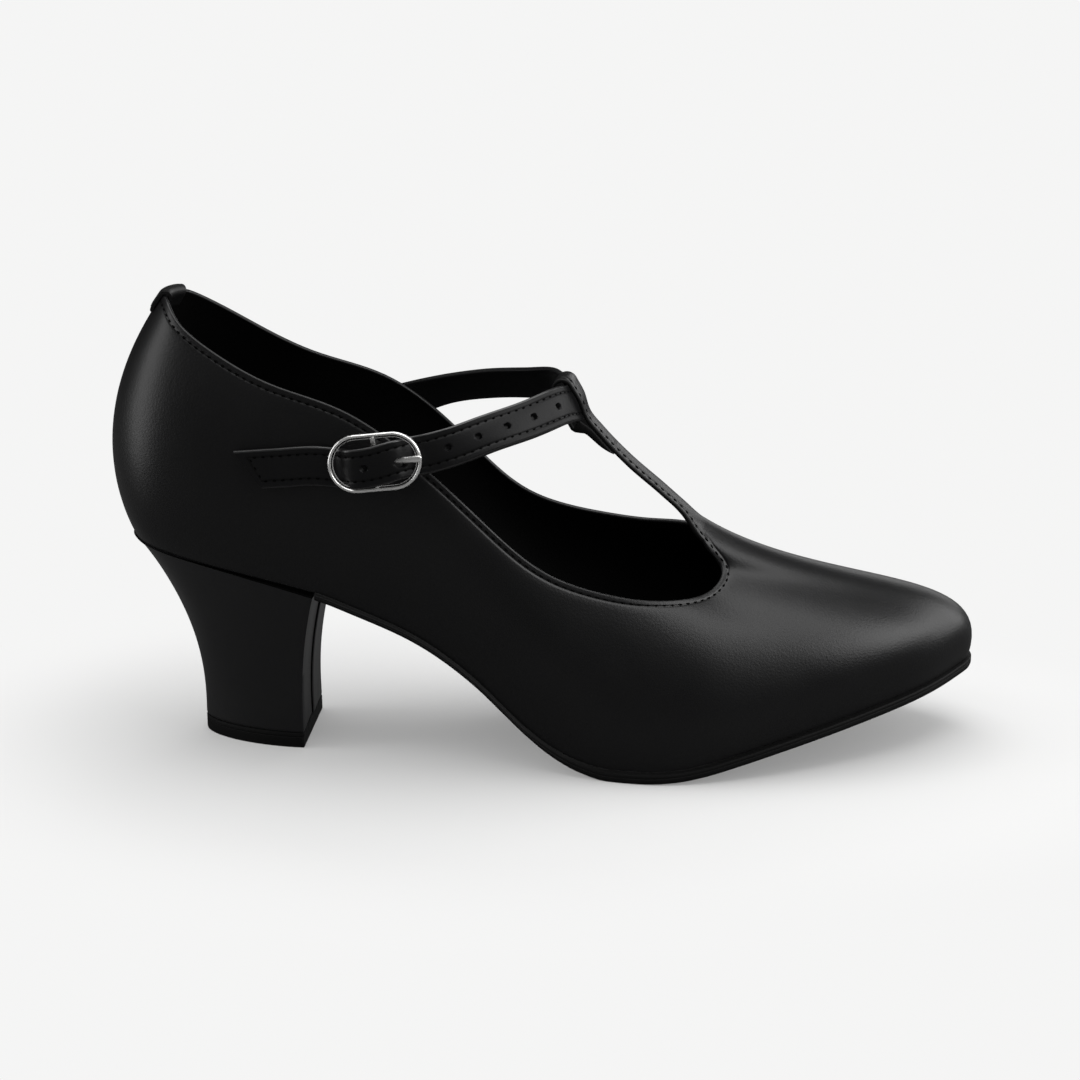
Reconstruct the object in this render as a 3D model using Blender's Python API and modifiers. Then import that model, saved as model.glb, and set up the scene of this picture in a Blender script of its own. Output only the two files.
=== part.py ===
# Character shoe with a T-strap, right foot, standing on its sole. Metres, +Z up,
# toe along +X, the outer side of the foot (with the buckle) along -Y.
# Run with: blender --background --python part.py

import math

import bpy
import bmesh
import numpy as np

# Driving sizes.
SHOE_LENGTH = 0.240  # back of the heel counter to the toe
BALL_WIDTH = 0.077  # sole across the ball of the foot
SEAT_HEIGHT = 0.0575  # floor to the heel seat, at the back
QUARTER_HEIGHT = 0.065  # heel seat to the topline, at the back
TOE_SPRING = 0.0195  # how far the toe tip of the sole clears the floor
WALL = 0.0014  # leather and lining of the upper
SOLE_THICKNESS = 0.0032  # at the ball
SHANK_THICKNESS = 0.0019  # of the sole under the arch
SOLE_MARGIN = 0.0007  # sole edge beyond the upper
SEAT_MARGIN = 0.0007  # heel seat beyond the upper
INSOLE_THICKNESS = 0.0015
LIFT_THICKNESS = 0.0043  # rubber top piece under the heel
HEEL_BASE_LENGTH = 0.0306
HEEL_BASE_WIDTH = 0.0316
HEEL_PITCH = 2.35  # how late the heel widens to the seat: power of the height share
STRAP_WIDTH = 0.0103
STRAP_THICKNESS = 0.0018
TAB_WIDTH = 0.0105
TAB_DROP = 0.0052  # how far the back tab reaches down from the topline
TAB_THICKNESS = 0.0008
BUCKLE_LENGTH = 0.0243
BUCKLE_HEIGHT = 0.0150
BUCKLE_WIRE = 0.0014
BAR_WIRE = 0.0012
PRONG_WIDTH = 0.0016
PRONG_THICKNESS = 0.0008
CHAPE_THICKNESS = 0.0007
CLEARANCE = 0.0003  # between pieces that meet
LOOP_SLACK = 0.0007  # room behind the ankle strap in the T-strap's loop

# The tables below hold shares: x in 240ths of the length, y in 77ths of the ball
# width, heights in 65ths of the quarter height above the sole at that x.
X = SHOE_LENGTH / 240
Y = BALL_WIDTH / 77
H = QUARTER_HEIGHT / 65

# Underside of the sole, x and height. Behind the ball the height is in 57.5ths of
# the seat height, in front of it in 19.4ths of the toe spring.
SOLE_REAR = [
    (-120, 55.9), (-108, 55.5), (-95, 53.7), (-85, 51.8), (-77, 50.0), (-68.5, 47.9),
    (-60, 45.5), (-50, 41.3), (-37, 35.3), (-30.4, 31.5), (-23.7, 26.9), (-16.6, 21.3),
    (-10, 15.3), (-3, 9.2), (4, 4.4), (11, 1.4), (18, 0), (36, 0),
]
SOLE_FRONT = [(44, 1.2), (53, 3.8), (63, 6.4), (84, 11.4), (104, 15.9), (120, 19.4)]

# Sections round the upper, from the back seam along the outer side, round the toe
# and back along the inner side. Each row holds five points from the sole to the
# topline: foot x, y; low x, y, h; middle x, y, h; high x, y, h; rim x, y, h.
SECTIONS = [
    (-114, 0, -118, 0, 9.5, -124.2, 0, 28, -116, 0, 48.5, -103.2, 0, 66.5),
    (-110.5, -11, -114.6, -13.5, 9, -119, -13.5, 27.5, -112.2, -11.3, 48, -100.9, -8.4, 65.9),
    (-103.2, -19.5, -107, -24, 9, -106, -23.5, 26.5, -102, -20, 46.5, -96.3, -14.9, 61.7),
    (-88, -24.5, -90, -29.5, 9.5, -90, -29.5, 25.5, -88, -26, 43, -85.7, -20.6, 56.9),
    (-70, -25.8, -70.5, -31.5, 11, -70, -32.5, 25, -70, -30.5, 40.5, -70, -25.8, 53.5),
    (-50, -24.8, -50, -30, 10, -51, -33, 24.5, -51.5, -33, 40, -52, -28.6, 53.9),
    (-30, -24.3, -29, -30, 9.5, -31, -34, 23, -33.5, -35, 38, -35, -30.6, 51.2),
    (-12, -27, -10.5, -33, 10.5, -12.5, -36.5, 23, -16, -36, 35.5, -18.5, -31.6, 48),
    (8, -32.8, 9, -38, 9.5, 6, -38.5, 22.5, 1.5, -36, 36, -2.5, -31.6, 47.4),
    (28, -37.3, 28.5, -40.5, 8.5, 25, -38.5, 20.5, 19, -34, 34, 12, -29.6, 46.9),
    (48, -34.8, 49, -39.5, 8.5, 44.5, -37, 23, 33.5, -30.5, 34.5, 25.5, -26.8, 44.3),
    (68, -28, 69.5, -33, 9, 61.5, -31.5, 22, 46, -27, 33, 36.5, -22.6, 42.7),
    (85, -20, 87.5, -26, 10.5, 76, -26, 22, 56, -22.5, 31, 43.2, -17.8, 41.8),
    (99.5, -11.5, 103, -17.5, 12.5, 86.5, -19, 23, 62, -18, 31.5, 46.6, -13.6, 42.5),
    (108.5, -3.8, 112.5, -9, 15, 93, -12, 24, 64.5, -12.5, 33, 48.2, -9.8, 44),
    (114, 2.6, 118.5, -1, 17, 96.5, -5.5, 25, 65.5, -7, 34.5, 47.2, -7.2, 47.2),
    (117, 6.8, 121.5, 5, 19, 98, 0.5, 26.5, 66, -2.5, 37.5, 43.2, -5.5, 53.5),
    (118.2, 11.2, 123, 11, 20.5, 98.5, 7, 26.5, 66, 2.5, 37.5, 42.8, 0.8, 57.6),
    (117.8, 15.4, 122.5, 16.5, 19, 98.5, 13.5, 25.5, 66, 8, 36.7, 42.8, 7.2, 56.2),
    (115.6, 19.4, 120.5, 22, 16.5, 98, 20, 23, 66, 13, 34.5, 46.6, 9.6, 50.7),
    (111.2, 23.8, 115.5, 28, 15, 95, 25.5, 22, 65, 18, 33.5, 47.8, 13, 49.4),
    (103.5, 28.8, 106.5, 33.5, 12.5, 88.5, 31, 21.5, 62.5, 23.5, 33.5, 46.6, 17.2, 49.2),
    (91, 33.2, 93, 38.5, 10.5, 78.5, 35.5, 21, 57, 28.5, 35, 43, 21.6, 50.2),
    (75.5, 36.4, 76.5, 41.4, 9, 65, 39, 22, 48.5, 32.5, 36.5, 36.8, 25.2, 51.7),
    (57, 38.4, 57.5, 42.9, 8.5, 50, 41.4, 23.5, 37, 35, 38.5, 27, 28.4, 51.9),
    (37, 36.8, 37, 41, 9, 31.5, 40.5, 22.5, 23, 36.5, 37.5, 15, 30.2, 52.7),
    (17, 30.8, 17, 36, 11, 13, 37.5, 25, 7.5, 35.5, 39, 2, 30.8, 50.8),
    (-3, 23.8, -2, 30, 11.5, -5, 34, 24.5, -9, 34.5, 36, -12.5, 31, 46.4),
    (-23, 20.6, -22, 27, 10, -24, 32, 23.5, -27, 33.5, 37.5, -29.5, 30.6, 49.3),
    (-45, 22.2, -44, 28.5, 10.5, -45, 32, 25, -47, 32.5, 40.5, -48, 29.4, 53.4),
    (-68, 25, -67.5, 30.5, 11, -68, 32, 25.5, -68, 30.5, 41, -68, 26, 53.5),
    (-88, 24.3, -90, 29.5, 9.5, -90, 29.5, 25.5, -88, 26, 43.5, -86, 20.4, 59.6),
    (-103.4, 19.2, -107, 24, 9, -106, 23.5, 26.5, -102, 20, 46.5, -95.6, 14.8, 64.3),
    (-110.6, 10.8, -114.6, 13, 9, -119, 13, 27.5, -112.2, 11.3, 48, -100.8, 8.6, 66.6),
]
TOE_ROW = 17  # the section through the toe tip; the T-strap grows from it and its neighbours

# Outer face of the T-strap, from the throat to where it turns over the ankle strap:
# outer edge x, y, h; middle x, y, h; inner edge x, y, h.
T_STRAP = [
    (37.7, -5.0, 61.9, 38.0, 0.6, 62.8, 37.8, 5.6, 62.3),
    (31.9, -4.9, 67.9, 32.0, 0.4, 68.5, 32.0, 5.3, 68.1),
    (22.6, -4.8, 76.1, 22.8, 0.3, 76.8, 22.7, 5.0, 76.4),
    (15.0, -4.8, 83.8, 15.2, 0.3, 84.4, 15.1, 5.0, 84.0),
    (11.5, -4.9, 87.4, 11.8, 0.3, 87.6, 11.7, 5.1, 87.4),
    (9.2, -4.9, 92.2, 9.7, 0.3, 92.5, 9.8, 5.1, 92.4),
    (6.9, -5.0, 95.2, 7.5, 0.3, 95.6, 7.7, 5.2, 95.5),
]
T_DOUBLED_TO = 0.67  # share of the T-strap, from the throat, where its turned end stops
LOOP_CLOSING = 0.055  # share over which the turned end comes in under the ankle strap

# Middle of the ankle strap: x, h on the two quarters; x, y, h and how far its upper
# edge leans in x and y, per unit of height, where it is free.
STRAP_INNER_QUARTER = [(-61, 36.8), (-52, 41.4), (-44, 46.8)]
STRAP_INNER_FREE = [
    (-29.5, 31.2, 58.9, 0, -0.6), (-17.8, 27.7, 69.8, 0, -0.65), (-6, 21.2, 82.0, -0.15, -0.6),
    (2.6, 13.2, 89.4, -0.3, -0.4),
]
STRAP_OUTER_FREE = [
    (3.6, -12.8, 89.2, -0.35, 0.45), (-3.3, -20.4, 83.1, -0.2, 0.7),
    (-13.2, -27.4, 72.2, -0.1, 0.7), (-23.2, -31.6, 60.9, 0, 0.45),
]
STRAP_OUTER_QUARTER = [
    (-29, 55.0), (-33, 51.6), (-37, 48.6), (-42.2, 45.7), (-47, 43.4), (-52, 41.2), (-58, 38.6),
    (-67, 34.2), (-75.6, 30.9),
]
STRAP_TAIL_SLANT = 0.0034  # the cut tail: its upper corner runs on by this, its lower stops short

BUCKLE_AT = (-42.2, 45.7)  # x, h of its centre on the outer quarter
# Layers under the buckle, from the quarter outwards.
BAR_HEIGHT = CLEARANCE + CHAPE_THICKNESS + 2 * CLEARANCE + BAR_WIRE / 2
PRONG_LOOP = BAR_WIRE / 2 + CLEARANCE + PRONG_THICKNESS / 2  # radius of the prong's loop
STRAP_REST = CLEARANCE + STRAP_THICKNESS / 2  # strap's middle on the quarter
STRAP_OVER_BAR = BAR_HEIGHT + PRONG_LOOP + PRONG_THICKNESS / 2 + CLEARANCE + STRAP_THICKNESS / 2
FRAME_HEIGHT = STRAP_REST + STRAP_THICKNESS / 2 + CLEARANCE + BUCKLE_WIRE / 2 + 0.0006
# Height of the strap's middle above the quarter, by distance from the buckle's bar.
STRAP_LIFT = [
    (0, STRAP_OVER_BAR), (0.0022, STRAP_OVER_BAR), (0.0052, STRAP_OVER_BAR * 0.74),
    (0.0082, STRAP_REST * 1.6), (0.0110, STRAP_REST), (1, STRAP_REST),
]

BREAST = -60.5 * X  # front of the heel at the seat
HEEL_FRONT = -65.8 * X  # front of the heel at the floor
HEEL_SHIFT = -1.1 * Y  # the heel's foot lies this far to the outer side


def smooth(table, x):
    """Curve through the rows of a table that keeps level stretches level."""
    xs, ys = (np.array(column, float) for column in zip(*table))
    steps = np.diff(xs)
    slopes = np.diff(ys) / steps
    tangents = np.zeros(len(xs))
    tangents[0] = slopes[0]
    tangents[-1] = slopes[-1]
    same = slopes[:-1] * slopes[1:] > 0
    mean = 2 * slopes[:-1] * slopes[1:] / np.where(same, slopes[:-1] + slopes[1:], 1)
    tangents[1:-1] = np.where(same, mean, 0)
    x = np.clip(x, xs[0], xs[-1])
    i = np.clip(np.searchsorted(xs, x) - 1, 0, len(steps) - 1)
    t = (x - xs[i]) / steps[i]
    return (
        (2 * t**3 - 3 * t**2 + 1) * ys[i]
        + (t**3 - 2 * t**2 + t) * steps[i] * tangents[i]
        + (3 * t**2 - 2 * t**3) * ys[i + 1]
        + (t**3 - t**2) * steps[i] * tangents[i + 1]
    )


SOLE_LINE = [(x * X, h * SEAT_HEIGHT / 57.5) for x, h in SOLE_REAR]
SOLE_LINE += [(x * X, h * TOE_SPRING / 19.4) for x, h in SOLE_FRONT]
THICKNESS_LINE = [(-60 * X, SHANK_THICKNESS), (-10 * X, SHANK_THICKNESS), (20 * X, SOLE_THICKNESS)]
THICKNESS_LINE += [(120 * X, SOLE_THICKNESS)]


def sole_bottom(x):
    return smooth(SOLE_LINE, x)


def sole_top(x):
    return smooth(SOLE_LINE, x) + smooth(THICKNESS_LINE, x)


def above_sole(x, y, h):
    """World point of a table's x, y and height share."""
    return np.array([x * X, y * Y, sole_top(x * X) + h * H])


def ring_spline(keys, per_key):
    """Closed curve through the keys (cubic, C2), per_key points for each key."""
    count = len(keys)
    system = 4 * np.eye(count) + np.roll(np.eye(count), 1, 0) + np.roll(np.eye(count), -1, 0)
    flat = keys.reshape(count, -1)
    tangents = np.linalg.solve(system, 3 * (np.roll(flat, -1, 0) - np.roll(flat, 1, 0)))
    t = (np.arange(per_key) / per_key)[None, :, None]
    a, b = flat[:, None], np.roll(flat, -1, 0)[:, None]
    ta, tb = tangents[:, None], np.roll(tangents, -1, 0)[:, None]
    curve = (2 * t**3 - 3 * t**2 + 1) * a + (t**3 - 2 * t**2 + t) * ta
    curve += (3 * t**2 - 2 * t**3) * b + (t**3 - t**2) * tb
    return curve.reshape((count * per_key,) + keys.shape[1:])


def open_spline(keys, samples):
    """Curve through the keys by arc length between them, at shares 0 to 1 of it."""
    keys = np.asarray(keys, float)
    flat = keys.reshape(len(keys), -1)
    at = np.concatenate([[0], np.cumsum(np.linalg.norm(np.diff(flat, axis=0), axis=1))])
    at /= at[-1]
    steps = np.diff(at)[:, None]
    slopes = np.diff(flat, axis=0) / steps
    tangents = np.empty_like(flat)
    tangents[0] = slopes[0]
    tangents[-1] = slopes[-1]
    tangents[1:-1] = (slopes[:-1] * steps[1:] + slopes[1:] * steps[:-1]) / (steps[1:] + steps[:-1])
    i = np.clip(np.searchsorted(at, samples) - 1, 0, len(steps) - 1)
    t = ((samples - at[i]) / steps[i, 0])[:, None]
    curve = (2 * t**3 - 3 * t**2 + 1) * flat[i] + (t**3 - 2 * t**2 + t) * steps[i] * tangents[i]
    curve += (3 * t**2 - 2 * t**3) * flat[i + 1] + (t**3 - t**2) * steps[i] * tangents[i + 1]
    return curve.reshape((len(samples),) + keys.shape[1:])


def unit(vectors):
    return vectors / np.maximum(np.linalg.norm(vectors, axis=-1, keepdims=True), 1e-12)


# Control points of the sections in world metres: section, level, xyz.
CONTROLS = np.array(
    [
        [above_sole(x, y, CLEARANCE / H)]
        + [above_sole(*levels[k : k + 3]) for k in range(0, 12, 3)]
        for x, y, *levels in SECTIONS
    ]
)


def upper_rows(controls, shares):
    """Outer face of the upper: for each section a quartic Bezier from sole to topline."""
    t = np.asarray(shares, float)[:, None, None]
    weights = [math.comb(4, k) * t**k * (1 - t) ** (4 - k) for k in range(5)]
    return sum(w * controls[None, :, k] for k, w in enumerate(weights))


def face_normals(grid, closed):
    """Outward unit normals of a grid of rows (sole to topline) by columns (round the shoe)."""
    along = np.gradient(grid, axis=0)
    across = np.gradient(grid, axis=1)
    if closed:
        across = (np.roll(grid, -1, 1) - np.roll(grid, 1, 1)) / 2
    return unit(np.cross(across, along))


def ring_controls(per_key):
    """Control points of per_key sections for each row of the table, their feet on the sole."""
    ring = ring_spline(CONTROLS, per_key)
    ring[:, 0, 2] = sole_top(ring[:, 0, 0]) + CLEARANCE
    return ring


COLUMNS_PER_SECTION = 3
RING = ring_controls(COLUMNS_PER_SECTION)
FINE_RING = ring_controls(8)
T_FIRST = (TOE_ROW - 1) * COLUMNS_PER_SECTION
T_LAST = (TOE_ROW + 1) * COLUMNS_PER_SECTION


def quarter_point(x, h, side):
    """Point and outward normal of the upper's outer face at table x, h on one side (-1 or 1)."""
    shares = np.linspace(0.1, 1, 90)
    grid = upper_rows(FINE_RING, shares)
    normals = face_normals(grid, True)
    target = np.array([x * X, sole_top(x * X) + h * H])
    apart = np.linalg.norm(grid[..., [0, 2]] - target, axis=-1)
    apart[grid[..., 1] * side < 0] = 1
    nearest = np.argsort(apart, axis=None)[:12]
    near = apart.ravel()[nearest]
    weights = np.exp(-((near / (0.6 * near.mean() + 1e-5)) ** 2))
    weights /= weights.sum()
    y = weights @ grid.reshape(-1, 3)[nearest, 1]
    normal = weights @ normals.reshape(-1, 3)[nearest]
    return np.array([target[0], y, target[1]]), unit(normal)


def on_quarter(x, h, side, height):
    """Point at a height above the quarter, kept outside it also where the strap leaves the rim."""
    point, normal = quarter_point(x, h, side)
    return point + normal * height, normal


def material(name, colour, roughness, metallic=0.0):
    made = bpy.data.materials.new(name)
    made.use_nodes = True
    shader = made.node_tree.nodes["Principled BSDF"]
    shader.inputs["Base Color"].default_value = (*colour, 1)
    shader.inputs["Roughness"].default_value = roughness
    shader.inputs["Metallic"].default_value = metallic
    return made


def add_object(name, points, faces, finish, collection):
    mesh = bpy.data.meshes.new(name)
    mesh.from_pydata([tuple(p) for p in points], [], [tuple(f) for f in faces])
    body = bmesh.new()
    body.from_mesh(mesh)
    bmesh.ops.remove_doubles(body, verts=body.verts, dist=1e-6)
    bmesh.ops.recalc_face_normals(body, faces=body.faces)
    if body.calc_volume(signed=True) < 0:
        bmesh.ops.reverse_faces(body, faces=body.faces)
    body.to_mesh(mesh)
    body.free()
    mesh.materials.append(finish)
    made = bpy.data.objects.new(name, mesh)
    collection.objects.link(made)
    return made


def grid_faces(rows, columns, closed_rows=False, closed_columns=False, first=0):
    """Quads of a grid of points stored row by row."""
    faces = []
    for i in range(rows if closed_rows else rows - 1):
        for j in range(columns if closed_columns else columns - 1):
            a = first + i * columns + j
            b = first + i * columns + (j + 1) % columns
            c = first + (i + 1) % rows * columns + (j + 1) % columns
            d = first + (i + 1) % rows * columns + j
            faces.append((a, b, c, d))
    return faces


def sweep(name, rings, finish, collection):
    """Closed body from a row of equal rings, with flat ends."""
    rings = np.asarray(rings)
    rows, columns = rings.shape[:2]
    faces = grid_faces(rows, columns, closed_columns=True)
    faces.append(tuple(range(columns)))
    faces.append(tuple((rows - 1) * columns + j for j in range(columns)))
    return add_object(name, rings.reshape(-1, 3), faces, finish, collection)


def plate(name, outer_half, inner_half, low, high, finish, collection, columns=1):
    """Plate between two matched half outlines, with lower and upper heights as functions of x."""
    shares = np.linspace(0, 1, columns + 1)[None, :, None]
    flat = outer_half[:, None] * (1 - shares) + inner_half[:, None] * shares
    rows = len(outer_half)
    bottom = np.dstack([flat, low(flat[..., 0])]).reshape(-1, 3)
    top = np.dstack([flat, high(flat[..., 0])]).reshape(-1, 3)
    width = columns + 1
    faces = grid_faces(rows, width) + grid_faces(rows, width, first=len(bottom))
    for i in range(rows - 1):
        for j in (0, columns):
            a = i * width + j
            faces.append((a, a + width, a + width + len(bottom), a + len(bottom)))
    for i in (0, rows - 1):
        for j in range(columns):
            a = i * width + j
            faces.append((a, a + 1, a + 1 + len(bottom), a + len(bottom)))
    points = np.concatenate([bottom, top])
    return add_object(name, points, faces, finish, collection)


def outline(margin, x_from, x_to, count):
    """The sole's outline set out by a margin, as matched halves (outer, inner) from x_from to x_to.

    A half runs from its x_from end to the point furthest the other way: the toe tip when
    x_from is behind, the back of the heel when it is in front.
    """
    feather = ring_spline(CONTROLS[:, :1], 12)[:, 0, :2]
    along = unit(np.roll(feather, -1, 0) - np.roll(feather, 1, 0))
    line = feather + margin * np.stack([along[:, 1], -along[:, 0]], 1)
    toward_toe = x_to > x_from
    toe = TOE_ROW * 12
    halves = []
    for half in (line[: toe + 1], np.concatenate([line[toe:], line[:1]])[::-1]):
        if not toward_toe:
            half = half[::-1]
        ahead = half[:, 0] >= x_from if toward_toe else half[:, 0] <= x_from
        start = int(np.argmax(ahead))
        a, b = half[start - 1], half[start]
        share = (x_from - a[0]) / (b[0] - a[0]) if start else 0
        first = a + (b - a) * share if start else b
        kept = np.concatenate([[first], half[start:]])
        length = np.concatenate([[0], np.cumsum(np.linalg.norm(np.diff(kept, axis=0), axis=1))])
        spread = np.sin(np.linspace(0, np.pi / 2, count)) * 0.45 + np.linspace(0, 1, count) * 0.55
        picks = spread * length[-1]
        halves.append(np.stack([np.interp(picks, length, kept[:, k]) for k in (0, 1)], 1))
    return halves


def boolean(target, cutter, operation):
    step = target.modifiers.new(operation.title(), "BOOLEAN")
    step.operation = operation
    step.solver = "EXACT"
    step.object = cutter


def build_upper(finish, collection):
    """The hollow upper with its T-strap, as one face pushed inwards to its wall."""
    shares = 1 - (1 - np.linspace(0, 1, 12)) ** 1.12
    ring = upper_rows(RING, shares)
    strap = t_strap_rows()
    rows, columns = ring.shape[:2]
    points = [ring.reshape(-1, 3), strap.reshape(-1, 3)]
    faces = grid_faces(rows, columns, closed_columns=True)
    width = strap.shape[1]
    first = rows * columns
    faces += grid_faces(len(strap), width, first=first)
    rim = (rows - 1) * columns
    for j in range(width - 1):
        a = rim + T_FIRST + j
        faces.append((a, a + 1, first + j + 1, first + j))
    upper = add_object("upper", np.concatenate(points), faces, finish, collection)
    mesh = upper.data
    outward = sum(1 for p in mesh.polygons if p.normal.x * (p.center.x - 0.02) > 0)
    if outward * 2 < len(mesh.polygons):
        mesh.flip_normals()
    shell = upper.modifiers.new("Wall", "SOLIDIFY")
    shell.thickness = WALL
    shell.offset = -1
    shell.use_even_offset = True
    shell.thickness_clamp = 0
    return upper


def t_front(shares):
    """Outer face of the T-strap at shares 0 (throat) to 1 (turn), seven points across."""
    rows = [
        [above_sole(*row[k : k + 3]) for k in (0, 3, 6)]
        for row in T_STRAP
    ]
    base = upper_rows(RING, [0.9, 1.0])[:, T_FIRST : T_LAST + 1]
    across = np.linspace(-1, 1, T_LAST - T_FIRST + 1)[None, :, None]
    rows = np.array(rows)[:, None]
    outer, middle, inner = rows[:, :, 0], rows[:, :, 1], rows[:, :, 2]
    arched = middle + across * (inner - outer) / 2 + across**2 * ((inner + outer) / 2 - middle)
    keys = np.concatenate([base, arched])
    lengths = np.linalg.norm(np.diff(keys[:, len(across[0]) // 2], axis=0), axis=1)
    lead = lengths[0] / lengths.sum()
    shares = np.asarray(shares, float)
    return open_spline(keys, lead + (1 - lead) * shares)


HELD_DEPTH = WALL + CLEARANCE + STRAP_THICKNESS / 2  # outer face to the ankle strap's middle
TURN_RADIUS = HELD_DEPTH + LOOP_SLACK / 2
FRONT_SHARES = np.linspace(0, 1, 19)


def t_frames(shares):
    front = t_front(shares)
    along = unit(np.gradient(front, axis=0))
    across = unit(np.gradient(front, axis=1))
    return front, along, unit(np.cross(across, along))


def t_strap_rows():
    """T-strap above the throat: up its front, over the ankle strap and down behind itself."""
    front, along, normal = t_frames(FRONT_SHARES)
    rows = list(front[1:])
    for angle in np.linspace(0, np.pi, 8)[1:-1]:
        turn = normal[-1] * (math.cos(angle) - 1) + along[-1] * math.sin(angle)
        rows.append(front[-1] + turn * TURN_RADIUS)
    foot = strap_span()[0]
    below = np.array([1, 0.8, 0.55, 0.3, 0]) * (foot - T_DOUBLED_TO) + T_DOUBLED_TO
    shares = np.concatenate([np.linspace(1, foot, 5)[:-1], below])
    touching = 2 * WALL + CLEARANCE
    back, _, back_normal = t_frames(shares)
    for share, line, out in zip(shares, back, -back_normal):
        ease = np.clip(1 - (foot - share) / LOOP_CLOSING, 0, 1)
        depth = touching + (2 * TURN_RADIUS - touching) * ease * ease * (3 - 2 * ease)
        rows.append(line - out * depth)
    return np.array(rows)


def strap_span():
    """Shares of the T-strap's front between which the ankle strap lies behind it."""
    fine = np.linspace(0, 1, 101)
    middle = t_front(fine)[:, (T_LAST - T_FIRST) // 2]
    length = np.concatenate([[0], np.cumsum(np.linalg.norm(np.diff(middle, axis=0), axis=1))])
    foot, head = np.interp(length[-1] - np.array([STRAP_WIDTH + CLEARANCE, CLEARANCE]), length, fine)
    return float(foot), float(head)


def strap_keys():
    """Middle points, outward normals and heights of the ankle strap, inner end to tail."""
    points, widths = [], []

    def along_quarter(rows, side):
        for x, h in rows:
            away = abs(x - BUCKLE_AT[0]) * X if side < 0 else 1
            lift = smooth(STRAP_LIFT, away)
            point, normal = on_quarter(x, h, side, lift)
            points.append(point)
            level = np.array([1.0, 0, 0.14])
            widths.append(unit(np.cross(level, normal) * side))

    def along_free(rows):
        for x, y, h, lean_x, lean_y in rows:
            points.append(above_sole(x, y, h))
            widths.append(unit(np.array([lean_x, lean_y, 1.0])))

    along_quarter(STRAP_INNER_QUARTER, 1)
    along_free(STRAP_INNER_FREE)
    foot, head = t_front(strap_span())[:, (T_LAST - T_FIRST) // 2]
    loop_along = unit(head - foot)
    inward = np.cross(loop_along, [0, 1.0, 0])
    points.append((foot + head) / 2 + inward * np.sign(-inward[0]) * HELD_DEPTH)
    widths.append(loop_along)
    along_free(STRAP_OUTER_FREE)
    along_quarter(STRAP_OUTER_QUARTER, -1)
    return np.array(points), np.array(widths)


def strap_frames(samples):
    points, widths = strap_keys()
    both = open_spline(np.concatenate([points, widths * 0.004], axis=1), samples)
    middle, up = both[:, :3], unit(both[:, 3:])
    along = unit(np.gradient(middle, axis=0))
    up = unit(up - along * np.sum(up * along, axis=1, keepdims=True))
    return middle, along, up, np.cross(along, up)


def build_ankle_strap(finish, collection):
    samples = np.linspace(0, 1, 76)
    middle, along, up, out = strap_frames(samples)
    half, thick = STRAP_WIDTH / 2, STRAP_THICKNESS / 2
    soft = thick * 0.7
    section = [(-half, -thick + soft), (-half + soft, -thick), (0, -thick), (half - soft, -thick)]
    section += [(half, -thick + soft), (half, thick - soft), (half - soft, thick), (0, thick)]
    section += [(-half + soft, thick), (-half, thick - soft)]
    rings = np.array([[m + u * a + o * b for a, b in section] for m, u, o in zip(middle, up, out)])
    slant = np.array([a / half for a, _ in section])[:, None] * STRAP_TAIL_SLANT
    near_tail = np.clip((samples - 0.955) / 0.045, 0, 1)
    rings += near_tail[:, None, None] * slant[None] * along[:, None]
    return sweep("ankle_strap", rings, finish, collection)


def buckle_frame_axes():
    """Centre on the quarter, and axes along the strap, up across it and outwards."""
    point, normal = quarter_point(*BUCKLE_AT, -1)
    ahead, _ = quarter_point(BUCKLE_AT[0] + 8, BUCKLE_AT[1] + 4.9, -1)
    behind, _ = quarter_point(BUCKLE_AT[0] - 8, BUCKLE_AT[1] - 4.3, -1)
    along = unit(ahead - behind)
    normal = unit(normal - along * (normal @ along))
    up = np.cross(normal, along)
    return point, along, up * np.sign(up[2]), normal


def wire_rings(path, across, size_across, size_through, sides=8):
    """Rings of an elliptic wire round a path; across is its fixed cross direction."""
    along = unit(np.gradient(path, axis=0))
    across = unit(across - along * np.sum(across * along, axis=1, keepdims=True))
    through = np.cross(along, across)
    turn = np.linspace(0, 2 * np.pi, sides, endpoint=False)
    ring = across[:, None] * np.cos(turn)[None, :, None] * size_across / 2
    ring = ring + through[:, None] * np.sin(turn)[None, :, None] * size_through / 2
    return path[:, None] + ring


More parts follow.
